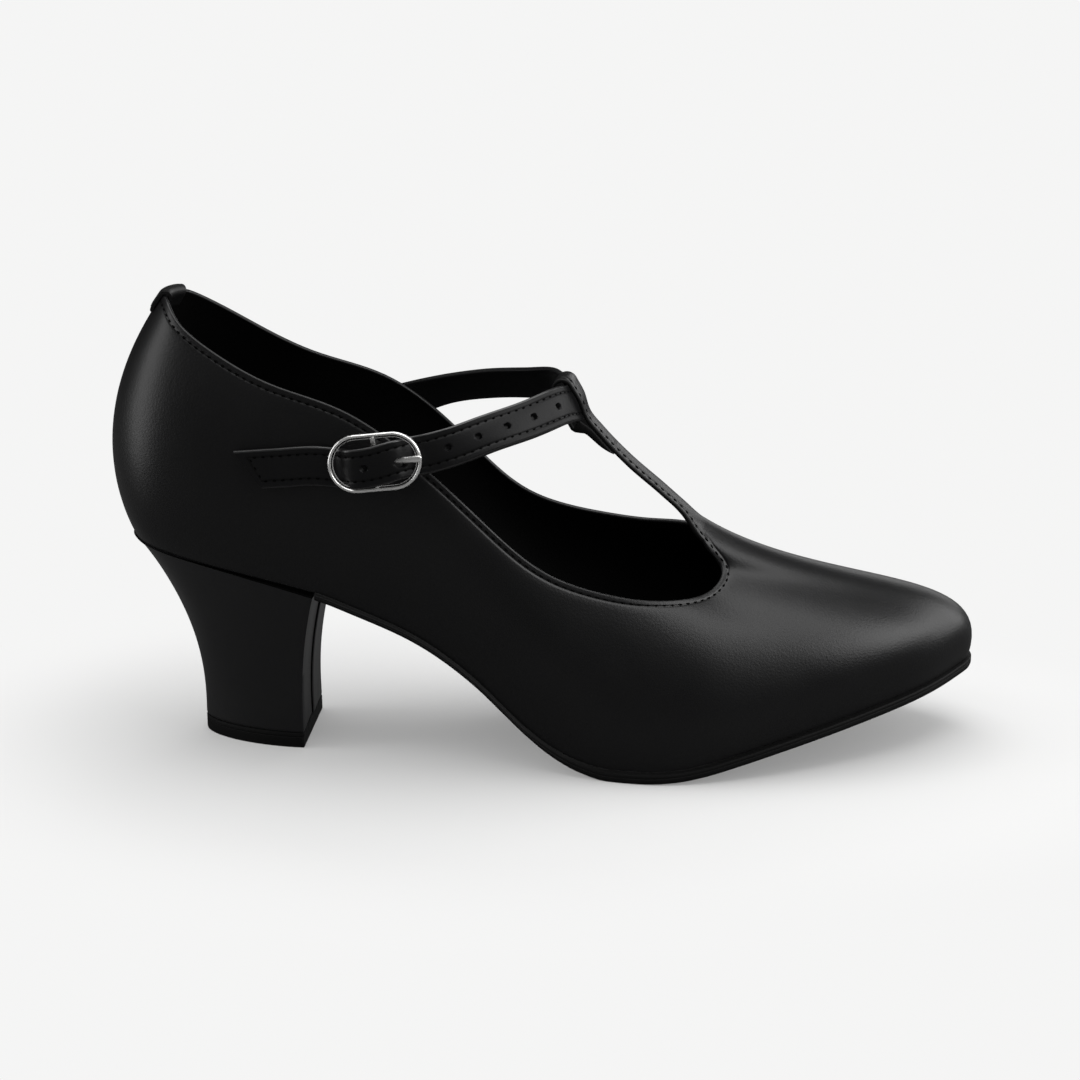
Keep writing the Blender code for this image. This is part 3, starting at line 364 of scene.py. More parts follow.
def tStrapRows(base, rowsUp, rowsTurn, rowsBack):
    # up the front, a half circle over the ankle strap, and down behind, closing under it
    front, along, normal = tFrames(base, np.linspace(0, 1, rowsUp))
    angle = np.linspace(0, np.pi, rowsTurn + 2)[1:-1, None, None]
    turn = front[-1] + (normal[-1] * (np.cos(angle) - 1) + along[-1] * np.sin(angle)) * turnRadius
    s, foot = strapSizes, heldSpan(base)[0]
    end, bulk = s["doubledTo"], s["bulk"]
    shares = np.concatenate([np.linspace(1, foot, rowsBack)[:-1], np.linspace(foot, end, rowsBack)])
    back, _, out = tFrames(base, shares)
    ease = np.clip(1 - (foot - shares) / s["closing"], 0, 1)
    # under the ankle strap the two layers lie together, a little thicker at first
    touching = 2 * strapWall + 0.1
    settle = np.clip((shares - end) / (foot - s["closing"] - end), 0, 1)
    depth = touching + bulk * settle + (2 * turnRadius - touching - bulk) * ease**2 * (3 - 2 * ease)
    # and the end is pared down
    depth -= s["pared"] * np.clip(1 - (shares - end) / s["paredOver"], 0, 1) ** 2
    packing = (depth - touching) * np.clip((foot - shares) / 0.012, 0, 1)
    # the rows run backwards here, so their normals point inwards
    rows = np.concatenate([front[1:], turn, back + out * depth[:, None, None]])
    return rows, np.concatenate([np.zeros(len(rows) - len(packing)), packing])


# shader groups: each puts out colours, masks or heights (metres) for the materials below
def newGroup(name, inputs, outputs):
    tree = bpy.data.node_groups.new(name, "ShaderNodeTree")
    kind = "NodeSocketFloat"
    for label, value in inputs.items():
        tree.interface.new_socket(name=label, in_out="INPUT", socket_type=kind).default_value = value
    for label in outputs:
        tree.interface.new_socket(name=label, in_out="OUTPUT", socket_type=kind)
    return tree, tree.nodes.new("NodeGroupInput").outputs, tree.nodes.new("NodeGroupOutput").inputs


def mathNode(tree, operation, *values):
    return addNode(tree, "Math", dict(enumerate(values)), operation=operation).outputs[0]


def noiseNode(tree, where, scale, detail, roughness=0.5):
    values = {"Vector": where, "Scale": scale, "Detail": detail, "Roughness": roughness}
    return addNode(tree, "TexNoise", values).outputs["Fac"]


def makeGrainGroup():
    # fine calf grain: small cells worn round, over slow swells; height in metres, tone 0 to 1
    sockets = {"Cells per metre": 1500.0, "Depth": 0.00002}
    tree, given, out = newGroup("calfGrain", sockets, ("Height", "Tone"))
    place = addNode(tree, "TexCoord").outputs["Object"]
    cells = addNode(tree, "TexVoronoi", {
        "Vector": place, "Scale": given["Cells per metre"], "Smoothness": 0.6}, feature="SMOOTH_F1")
    fine = noiseNode(tree, place, 2600.0, 3.0)
    slow = noiseNode(tree, place, 60.0, 3.0)
    both = mathNode(tree, "MULTIPLY_ADD", fine, 0.5,
                    mathNode(tree, "MULTIPLY", cells.outputs["Distance"], 0.9))
    height = mathNode(tree, "MULTIPLY", both, given["Depth"])
    swell = mathNode(tree, "MULTIPLY", slow, 0.00012)
    tree.links.new(mathNode(tree, "ADD", height, swell), out["Height"])
    drift = noiseNode(tree, place, 28.0, 4.0, 0.6)
    tone = mathNode(tree, "MULTIPLY_ADD", drift, 0.7, mathNode(tree, "MULTIPLY", fine, 0.3))
    tree.links.new(tone, out["Tone"])
    return tree


def bellNode(tree, value):
    # e to the power of minus the square
    square = mathNode(tree, "MULTIPLY", value, value)
    return mathNode(tree, "POWER", 2.718, mathNode(tree, "MULTIPLY", square, -1.0))


def makeSeamGroup():
    # a sewn edge: the leather dips along the stitch line, sharply in a wide hollow, by the
    # distance from the edge that the piece carries; height in metres, groove 0 to 1 as the mask of painted
    # shade
    tree, given, out = newGroup(
        "sewnEdge", {"Line": 0.0019, "Width": 0.00045, "Depth": 0.00016}, ("Height", "Groove"))
    edge = addNode(tree, "Attribute", attribute_name="edgeDistance").outputs["Fac"]
    away = mathNode(tree, "ABSOLUTE", mathNode(tree, "SUBTRACT", edge, given["Line"]))
    share = mathNode(tree, "DIVIDE", away, given["Width"])
    groove = bellNode(tree, share)
    hollow = bellNode(tree, mathNode(tree, "MULTIPLY", share, 0.3))
    depth = mathNode(tree, "MULTIPLY_ADD", hollow, 0.7, groove)
    down = mathNode(tree, "MULTIPLY", given["Depth"], -1.0)
    tree.links.new(mathNode(tree, "MULTIPLY", depth, down), out["Height"])
    tree.links.new(groove, out["Groove"])
    return tree


def newMaterial(name):
    made = bpy.data.materials.new(name)
    made.use_nodes = True
    tree = made.node_tree
    return made, tree, tree.nodes["Principled BSDF"]


def mixColours(tree, share, low, high):
    pair = {k: (*c, 1) if isinstance(c, tuple) else c for k, c in ((6, low), (7, high))}
    return addNode(tree, "Mix", {0: share, **pair}, data_type="RGBA").outputs[2]


def setBump(tree, shader, height):
    # the height is in metres, so distance and strength are both 1
    bump = addNode(tree, "Bump", {"Distance": 1.0, "Strength": 1.0, "Height": height})
    tree.links.new(bump.outputs[0], shader.inputs["Normal"])


def leather(name, dark, light, roughness, grain, depth, specular, seam=None):
    # tone drifts between dark and light, grain and sewn edge go into the bump, and the sewn line's groove is
    # darkened as painted shade
    made, tree, shader = newMaterial(name)
    fine = addNode(tree, "Group", {"Cells per metre": grain, "Depth": depth}, node_tree=grainGroup).outputs
    colour, height = mixColours(tree, fine["Tone"], dark, light), fine["Height"]
    if seam:
        edge = addNode(tree, "Group", seam, node_tree=seamGroup).outputs
        height = mathNode(tree, "ADD", height, edge["Height"])
        # painted shade: the leather darkens towards near black in the stitch groove
        shade = mathNode(tree, "MULTIPLY", edge["Groove"], 0.7)
        colour = mixColours(tree, shade, colour, (0.0015, 0.0015, 0.0015))
    tree.links.new(colour, shader.inputs["Base Color"])
    worn = mathNode(tree, "MULTIPLY_ADD", fine["Tone"], 0.16, roughness - 0.08)
    tree.links.new(worn, shader.inputs["Roughness"])
    shader.inputs["Specular IOR Level"].default_value = specular
    setBump(tree, shader, height)
    return made


grainGroup = makeGrainGroup()
seamGroup = makeSeamGroup()
# sewn lines: metres in from the edge, width, depth
toplineSeam = {"Line": 0.00140, "Width": 0.00036, "Depth": 0.00015}
strapSeam = {"Line": 0.0020, "Width": 0.00036, "Depth": 0.00014}
leathers = {
    # darkest and lightest tone, roughness, grain cells per metre, their depth, specular level
    "upperLeather": ((0.003, 0.003, 0.0033), (0.0058, 0.0058, 0.0061), 0.37, 1700.0, 26e-6, 0.4, toplineSeam),
    "strapLeather": ((0.003, 0.003, 0.0033), (0.006, 0.006, 0.0063), 0.42, 1900.0, 18e-6, 0.17, strapSeam),
    # the strap's rounded edges: a lighter base colour, a painted highlight along its sides
    "strapEdgePaintedHighlight": ((0.008, 0.008, 0.0083), (0.012, 0.012, 0.0123), 0.34, 1900.0, 16e-6, 0.7),
    "tabLeather": ((0.0035, 0.0035, 0.0038), (0.0062, 0.0062, 0.0065), 0.42, 1900.0, 18e-6, 0.4),
    "heelLeather": ((0.0035, 0.0035, 0.004), (0.0062, 0.0062, 0.0068), 0.36, 2100.0, 10e-6, 0.6),
    # the heel's breast: a lighter base colour, a painted reflection of the pale floor
    "breastPaintedReflection": ((0.012, 0.012, 0.0125), (0.018, 0.018, 0.0185), 0.34, 2100.0, 10e-6, 0.7),
    # black paint of the cut leather edges, also painted shade in the buckle's groove
    "edgePaintAndGrooveShade": ((0.0018,) * 3, (0.003,) * 3, 0.60, 2600.0, 30e-6, 0.3),
    "liningLeather": ((0.0006,) * 3, (0.0012,) * 3, 0.75, 1400.0, 30e-6, 0.12),
    "soleLeather": ((0.0016,) * 3, (0.0034,) * 3, 0.62, 1500.0, 40e-6, 0.3),
    "rubber": ((0.0025,) * 3, (0.0045,) * 3, 0.66, 2400.0, 30e-6, 0.15),
    # black thread, also the heel's breast seam and painted shade in the heel's crevice
    "threadBlackAndCreviceShade": ((0.0004,) * 3, (0.001,) * 3, 0.8, 5200.0, 60e-6, 0.04),
}
(upperLeather, strapLeather, strapEdgePaintedHighlight, tabLeather, heelLeather, breastPaintedReflection, edgePaintAndGrooveShade,
 lining, soleLeather, rubber, threadBlackAndCreviceShade) = [leather(name, *row) for name, row in leathers.items()]


def makeNickel():
    # bright plate with faint rubbing marks
    made, tree, shader = newMaterial("nickel")
    place = addNode(tree, "TexCoord").outputs["Object"]
    rubbed = addNode(tree, "Mapping", {0: place, "Scale": (1.0, 0.35, 1.0)}).outputs[0]
    rub = noiseNode(tree, rubbed, 900.0, 5.0, 0.6)
    cloud = noiseNode(tree, place, 160.0, 2.0)
    plate = mixColours(tree, cloud, (0.86, 0.855, 0.84), (0.94, 0.935, 0.92))
    tree.links.new(plate, shader.inputs["Base Color"])
    tree.links.new(mathNode(tree, "MULTIPLY_ADD", rub, 0.14, 0.16), shader.inputs["Roughness"])
    shader.inputs["Metallic"].default_value = 0.82
    setBump(tree, shader, mathNode(tree, "MULTIPLY", rub, 0.000006))
    return made


nickel = makeNickel()
print("materials made")


upperSizes = {
    "columns": 8, "rows": 46,  # grid of the upper: columns for each section, rows up
    "frontRows": 64, "turnRows": 14, "backRows": 16,  # rows of the T-strap
    "thinRows": 12,  # of these, the first ones, over which the wall thins
    "edgeRound": 0.5, "seam": 1.4, "seamRows": 16,  # stitches from the edge, rows that know it
}


def makeUpper(s):
    # grid of Bezier sections with the T-strap's rows on its throat; a second sheet one wall
    # inside it, and a half round along the free edge between the two
    c, n = s["columns"], len(sections) * s["columns"]
    ring = bezierRows(ringControls(c), 1 - (1 - np.linspace(0, 1, s["rows"])) ** 1.35)
    strap, packing = tStrapRows(tBase(c), s["frontRows"], s["turnRows"], s["backRows"])
    first, last = (toeRow - 1) * c, (toeRow + 1) * c
    ringIndex = gridIndex(ring)
    strapIndex = gridIndex(strap, ringIndex.size)
    join = np.stack([ringIndex[-1, first : last + 1], strapIndex[0]])
    quads = np.concatenate([gridQuads(ringIndex, True), gridQuads(join), gridQuads(strapIndex)])
    outer = np.concatenate([ring.reshape(-1, 3), strap.reshape(-1, 3)])
    normals = vertexNormals(outer, quads)
    # the wall thins from the throat into the T-strap
    thin = np.clip(1 - np.arange(len(strap)) / s["thinRows"], 0, 1).repeat(strap.shape[1])
    depth = strapWall + (wall - strapWall) * np.concatenate([np.ones(ringIndex.size), thin])
    depth = (depth + np.concatenate([np.zeros(ringIndex.size), packing.repeat(strap.shape[1])]))[:, None]
    inner = outer - normals * depth
    rim = ringIndex[-1, np.arange(last, n + first + 1) % n]
    loop = np.concatenate([rim, strapIndex[:, 0], strapIndex[-1, 1:-1], strapIndex[::-1, -1]])
    edge, across, half = outer[loop], normals[loop], depth[loop] / 2
    away = unit(np.cross(across, np.roll(edge, -1, 0) - np.roll(edge, 1, 0)))
    theta = np.linspace(0, np.pi, 8)[1:-1, None, None]
    arcs = edge - across * half * (1 - np.cos(theta)) + away * s["edgeRound"] * np.sin(theta)
    size = len(outer)
    arcIndex = gridIndex(arcs, 2 * size)
    edgeQuads = gridQuads(np.concatenate([loop[None], arcIndex, loop[None] + size]), True)
    footQuads = gridQuads(np.stack([ringIndex[0] + size, ringIndex[0]]), True)
    faces = np.concatenate([quads, edgeQuads, footQuads, quads[:, ::-1] + size])
    slots = np.repeat([0, 1, 1, 2], [len(quads), len(edgeQuads), len(footQuads), len(quads)])
    # the topline is a folded edge in the same leather, the T-strap's sides are cut and painted
    folded = np.arange(len(edgeQuads)) % len(loop) < len(rim) - 1
    slots[len(quads) : len(quads) + len(edgeQuads)][folded] = 0
    # distance of each point near the free edge from it, for the sewn line
    quarters = np.linspace(0, 0.75, 4)[None, :, None]
    fine = (edge[:, None] + (np.roll(edge, -1, 0) - edge)[:, None] * quarters).reshape(-1, 3)
    near = np.concatenate([ringIndex[-s["seamRows"] :].ravel(), strapIndex.ravel()])
    squares = (outer[near] ** 2).sum(1)[:, None] + (fine**2).sum(1)[None] - 2 * outer[near] @ fine.T
    distance = np.full(2 * size + arcIndex.size, 20.0)
    distance[near] = np.sqrt(np.maximum(squares.min(1), 0))
    points = np.concatenate([outer, inner, arcs.reshape(-1, 3)])
    piece = addMesh("upperSkin", points, faces, [upperLeather, edgePaintAndGrooveShade, lining], slots,
                    {"edgeDistance": distance * mm})
    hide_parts("upper")
    # places of the stitches: down each column from the topline, in from the T-strap's outer side
    both = np.concatenate([outer, normals], 1)
    columns = both[ringIndex[::-1, np.arange(last + 1, n + first) % n]].transpose(1, 0, 2)
    topline = np.array([readAt(line, lengths(line[:, :3]), [s["seam"]])[0] for line in columns])
    rows = both[strapIndex[: s["frontRows"] + 4]]
    side = np.array([readAt(line, lengths(line[:, :3]), [s["seam"]])[0] for line in rows])
    return np.concatenate([topline, side])


def capsules(line, pitch, length, radius, lift):
    # stitches along a line of points and normals: thin rods with round ends, set in a row
    at = lengths(line[:, :3])
    places = np.arange(pitch / 2, at[-1] - pitch / 2, pitch)
    here = readAt(line, at, places)
    along = unit(readAt(line, at, places + 0.3)[:, :3] - readAt(line, at, places - 0.3)[:, :3])
    out = unit(here[:, 3:])
    side = unit(np.cross(out, along))
    x = np.array([-1, -0.72, 0, 0.72, 1])[None, :, None, None]
    wide = np.array([0.25, 0.8, 1, 0.8, 0.25])[None, :, None, None] * radius
    turn = np.linspace(0, 2 * np.pi, 6, endpoint=False)[None, None, :, None]
    spot = (here[:, :3] + out * lift)[:, None, None]
    points = spot + along[:, None, None] * x * length / 2 - out[:, None, None] * x**2 * radius * 0.9
    points = points + side[:, None, None] * wide * np.cos(turn) + out[:, None, None] * wide * np.sin(turn)
    index = np.arange(30).reshape(5, 6)
    one = gridQuads(index, True)[:, ::-1].tolist() + [index[0].tolist(), index[-1][::-1].tolist()]
    faces = [[v + index.size * k for v in f] for k in range(len(places)) for f in one]
    return points.reshape(-1, 3), faces


ankle = {
    "rows": 640, "across": 41, "soft": 0.6, "tailSlant": 3.4, "seam": 2.0,
    # pinholes and the prong's slot, in millimetres from the tail
    "holes": (32.6, 55.5, 63.7, 72.0, 80.4, 89.1), "holeRadius": 0.85, "holeDepth": 1.1,
    "slot": 41.9, "slotHalf": 0.5, "slotBelow": 0.9, "slotDepth": 1.7,
}
buckle = {
    "at": (-42.2, 45.7), "length": 24.3, "height": 15.0, "wire": 1.4, "barWire": 1.2,
    "prongWidth": 1.6, "prongThickness": 0.8, "chape": 0.7,
}
barHeight = gap + buckle["chape"] + 2 * gap + buckle["barWire"] / 2
prongLoop = buckle["barWire"] / 2 + gap + buckle["prongThickness"] / 2
strapRest = gap + strapSizes["thickness"] / 2
strapOverBar = barHeight + prongLoop + buckle["prongThickness"] / 2 + gap + strapSizes["thickness"] / 2
frameHeight = strapRest + strapSizes["thickness"] / 2 + gap + buckle["wire"] / 2 + 0.6
strapLift = [  # distance from the buckle's bar, height of the strap's middle over the quarter
    (0, strapOverBar), (2.2, strapOverBar), (5.2, strapOverBar * 0.88), (8.2, strapRest * 1.75),
    (11.0, strapRest), (1000, strapRest),
]
fineRing = ringControls(8)
quarterGrid = bezierRows(fineRing, np.linspace(0.1, 1, 90))


def gridNormals(grid):
    across = (np.roll(grid, -1, 1) - np.roll(grid, 1, 1)) / 2
    return unit(np.cross(across, np.gradient(grid, axis=0)))


quarterNormals = gridNormals(quarterGrid)


def quarterPoint(x, h, side):
    # point and normal of the upper at x and height h above the sole, on the side -1 or 1:
    # the twelve nearest grid points, weighted by a bell curve of their distance
    target = np.array([x, soleTop(x) + h])
    apart = np.linalg.norm(quarterGrid[..., [0, 2]] - target, axis=-1)
    apart[quarterGrid[..., 1] * side < 0] = 1000
    nearest = np.argsort(apart, axis=None)[:12]
    near = apart.ravel()[nearest]
    weights = np.exp(-((near / (0.6 * near.mean() + 0.01)) ** 2))
    weights /= weights.sum()
    y = weights @ quarterGrid.reshape(-1, 3)[nearest, 1]
    return np.array([target[0], y, target[1]]), unit(weights @ quarterNormals.reshape(-1, 3)[nearest])


def strapKeys():
    # middle line of the ankle strap and the way its width points, inner end to tail
    points, widths = [], []

    def alongQuarter(rows, side):
        for x, h in rows:
            away = abs(x - buckle["at"][0]) if side < 0 else 1000
            point, normal = quarterPoint(x, h, side)
            points.append(point + normal * smoothTable(strapLift, away))
            widths.append(unit(np.cross([1.0, 0, 0.14], normal) * side))

    def alongFree(rows):
        for x, y, h, leanX, leanY in rows:
            points.append(aboveSole((x, y, h)))
            widths.append(unit(np.array([leanX, leanY, 1.0])))

    alongQuarter([(-61, 36.8), (-52, 41.4), (-44, 46.8)], 1)
    alongFree([
        (-29.5, 31.2, 58.9, 0, -0.6), (-17.8, 27.7, 69.8, 0, -0.65), (-6, 21.2, 82.0, -0.15, -0.6),
        (2.6, 13.2, 89.4, -0.3, -0.4),
    ])
    base = tBase(8)
    foot, head = tFront(base, heldSpan(base))[:, base.shape[1] // 2]
    loopAlong = unit(head - foot)
    inward = np.cross(loopAlong, [0, 1.0, 0])
    points.append((foot + head) / 2 - inward * np.sign(inward[0]) * heldDepth)
    widths.append(loopAlong)
    alongFree([
        (3.6, -12.8, 89.2, -0.35, 0.45), (-3.3, -20.4, 83.1, -0.2, 0.7),
        (-13.2, -27.4, 72.2, -0.1, 0.7), (-23.2, -31.6, 60.9, 0, 0.45),
    ])
    alongQuarter([
        (-29, 55.0), (-33, 51.6), (-37, 48.5), (-42.2, 44.8), (-47, 42.0), (-52, 39.7), (-58, 37.4),
        (-67, 33.9), (-75.6, 30.9),
    ], -1)
    return np.array(points), np.array(widths)


def strapFrames(shares):
    points, widths = strapKeys()
    both = openSpline(np.concatenate([points, widths * 4], axis=1), shares)
    middle, up = both[:, :3], unit(both[:, 3:])
    along = unit(np.gradient(middle, axis=0))
    up = unit(up - along * np.sum(up * along, axis=1, keepdims=True))
    return middle, along, up, np.cross(up, along)


def makeAnkleStrap(s):
    # a rounded section carried along the middle line; punched holes and the prong's slot are
    # dips of the outer face, the tail is cut slanting
    shares = np.linspace(0, 1, s["rows"])
    middle, along, up, out = strapFrames(shares)
    half, thick, soft = strapSizes["width"] / 2, strapSizes["thickness"] / 2, s["soft"]
    corner = np.linspace(0, np.pi / 2, 5)
    face = np.linspace(half - soft, soft - half, s["across"])[1:-1]
    back = np.linspace(soft - half, half - soft, 7)[1:-1]
    sine, cosine = soft * np.sin(corner), soft * np.cos(corner)
    # across and through: round edge, outer face, round edges, back, round edge
    v = np.concatenate([half - soft + sine[::-1], face, soft - half - sine,
                        soft - half - cosine, back, half - soft + sine])
    w = np.concatenate([thick - soft + cosine[::-1], face * 0 + thick, thick - soft + cosine,
                        soft - thick - sine, back * 0 - thick, soft - thick - cosine])
    at = lengths(middle)
    fromTail = (at[-1] - at)[:, None] + v * 0
    outerFace = (w > thick - 0.01)[None]
    holeAway = np.min([np.hypot(fromTail - place, v) for place in s["holes"]], axis=0)
    slotAway = np.hypot(np.maximum(np.abs(fromTail - s["slot"]) - s["slotHalf"], 0), v + s["slotBelow"])
    r = s["holeRadius"]
    # each hole has a low raised lip
    lip = 0.12 * np.exp(-(((holeAway - r - 0.38) / 0.24) ** 2))
    dip = s["holeDepth"] * smoothStep((r + 0.12 - holeAway) / 0.35) - lip
    dip = np.maximum(dip, s["slotDepth"] * smoothStep((1.35 - slotAway) / 0.4))
    height = w - np.where(outerFace, dip, 0)
    height = height + np.where(outerFace, 0.10 * (1 - (v / half) ** 2), 0)
    points = middle[:, None] + up[:, None] * v[None, :, None] + out[:, None] * height[..., None]
    nearTail = np.clip((shares - 0.955) / 0.045, 0, 1)
    points = points + along[:, None] * (nearTail[:, None] * (v / half)[None] * s["tailSlant"])[..., None]
    index = gridIndex(points)
    faces = gridQuads(index, True)[:, ::-1].tolist() + [index[0].tolist(), index[-1][::-1].tolist()]
    distance = np.where(outerFace, np.minimum(half - np.abs(v)[None], fromTail), 20.0)
    # the rounded sides and the ends take the lighter finish: a painted highlight
    paintedHighlightEdges = (np.abs(v) > half - soft * 0.8) & (w > -0.2)
    slots = np.append(np.tile(paintedHighlightEdges, s["rows"] - 1), [True, True])
    piece = addMesh("ankleStrap", points.reshape(-1, 3), faces, [strapLeather, strapEdgePaintedHighlight], slots,
                    {"edgeDistance": distance.ravel() * mm}, 50)
    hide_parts("ankle_strap")
    # sewn lines along both sides and round the tail
    inset = s["seam"]
    top = np.concatenate([middle + up * (half - inset) + out * thick, out], 1)
    low = np.concatenate([middle - up * (half - inset) + out * thick, out], 1)
    end = int(np.argmax(fromTail[:, 0] < inset + 0.1))
    slant = nearTail[:, None] * along * s["tailSlant"] * (half - inset) / half
    top[:, :3] += slant
    low[:, :3] -= slant
    start = int(np.argmax(at > inset))
    return np.concatenate([top[start:end], low[start:end][::-1], top[start : start + 1]])


topStitches = makeUpper(upperSizes)
print("upper made")
strapStitches = makeAnkleStrap(ankle)
print("ankle strap made")
tab = {
    "from": -9.0, "to": 5.1,  # along the topline, inner side to outer side of the back seam
    "drop": 5.2, "thickness": 0.8, "columns": 31, "rows": 16, "turn": 13,
    "seam": 3,  # stitches on this row from the lower edge
}


def makeBackTab(s):
    # one folded profile for each column, held a gap off both faces of the wall
    order = np.arange(-14, 15)
    grid = bezierRows(fineRing, np.linspace(0.80, 1, 60))
    normals = gridNormals(grid)[:, order]
    grid = grid[:, order]
    reach = lengths(grid[-1])
    reach = reach - reach[14]
    places = np.linspace(s["from"], s["to"], s["columns"])
    column = np.stack([readAt(row, reach, places) for row in grid])
    outward = unit(np.stack([readAt(row, reach, places) for row in normals]))
    picks = np.linspace(s["drop"], 0, s["rows"])
    close = wall / 2 + gap
    taper = 1 - 0.5 * np.exp(-(((s["drop"] - picks[:, None]) / 0.9) ** 2))
    rings, seam = [], []
    for j in range(s["columns"]):
        down = lengths(column[::-1, j])
        face = readAt(column[::-1, j], down, picks)
        out = unit(readAt(outward[::-1, j], down, picks))
        middle = face - out * wall / 2
        top = unit(middle[-1] - middle[-2])
        angle = np.linspace(0, np.pi, s["turn"])[1:-1, None]

        def around(grow):
            # up one face at a distance of close and grow, round the top and down the other
            radius = close + grow * taper
            arc = middle[-1] + (close + grow) * (out[-1] * np.cos(angle) + top * np.sin(angle))
            return np.concatenate([middle + out * radius, arc, (middle - out * radius)[::-1]])

        skin = middle + out * (close + s["thickness"] * taper)
        seam.append(np.concatenate([skin[s["seam"]] - out[s["seam"]] * 0.15, out[s["seam"]]]))
        rings.append(np.concatenate([around(s["thickness"]), around(0)[::-1]]))
    rings = np.array(rings)
    index = gridIndex(rings)
    count = rings.shape[1]
    caps = [index[k, [i, i + 1, count - 2 - i, count - 1 - i]][:: 1 if k else -1].tolist()
            for k in (0, -1) for i in range(count // 2 - 1)]
    faces = gridQuads(index, True)[:, ::-1].tolist() + caps
    piece = addMesh("backTab", rings.reshape(-1, 3), faces, [tabLeather], sharp=50)
    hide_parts("back_tab")
    return np.array(seam)[1:-1]


tabStitches = makeBackTab(tab)
print("back tab made")
stitchSizes = {"pitch": 2.3, "length": 1.6, "radius": 0.3, "lift": -0.04}


def makeStitches(s):
    points, faces = [], []
    for line in (topStitches, strapStitches, tabStitches):
        some, quads = capsules(line, s["pitch"], s["length"], s["radius"], s["lift"])
        shift = sum(len(p) for p in points)
        points.append(some)
        faces += [[v + shift for v in f] for f in quads]
    addMesh("stitches", np.concatenate(points), faces, [threadBlackAndCreviceShade], sharp=80)


makeStitches(stitchSizes)
print("stitches made")


def buckleAxes():
    # centre on the quarter; axes along the strap, across it and outwards
    x, h = buckle["at"]
    point, normal = quarterPoint(x, h, -1)
    along = unit(quarterPoint(x + 8, h + 4.9, -1)[0] - quarterPoint(x - 8, h - 4.3, -1)[0])
    normal = unit(normal - along * (normal @ along))
    up = np.cross(normal, along)
    return point, along, up * np.sign(up[2]), normal


centre, uAxis, vAxis, nAxis = buckleAxes()


def onBuckle(uvn):
    u, v, n = (np.asarray(uvn)[..., k, None] for k in range(3))
    return centre + uAxis * u + vAxis * v + nAxis * n


def tube(path, across, wide, thick, sides):
    # ellipse carried along a path, its ends drawn in by a quarter round
    along = unit(np.gradient(path, axis=0))
    across = unit(across - along * np.sum(across * along, axis=1, keepdims=True))
    through = np.cross(along, across)
    turn = np.linspace(0, 2 * np.pi, sides, endpoint=False)[None, :, None]
    ring = across[:, None] * np.cos(turn) * wide / 2 + through[:, None] * np.sin(turn) * thick / 2
    ends = np.ones(len(path))
    ends[:3] = ends[::-1][:3] = (0.45, 0.8, 0.95)
    ends[-3:] = (0.95, 0.8, 0.45)
    points = path[:, None] + ring * ends[:, None, None]
    index = np.arange(len(path) * sides).reshape(-1, sides)
    caps = [index[0][::-1].tolist(), index[-1].tolist()]
    return points.reshape(-1, 3), gridQuads(index, True).tolist() + caps


# cross-section of the frame, from its inner foot over the thin lip to the broad outer band
framePath = [
    (-0.70, -0.40), (-0.70, 0.22), (-0.65, 0.32), (-0.54, 0.32), (-0.48, 0.20), (-0.46, -0.15),
    (-0.24, -0.15), (-0.20, 0.30), (-0.10, 0.58), (0.08, 0.70), (0.32, 0.64), (0.55, 0.46),
    (0.68, 0.18), (0.70, -0.20), (0.58, -0.48), (0.25, -0.62), (-0.30, -0.62), (-0.60, -0.54),
]


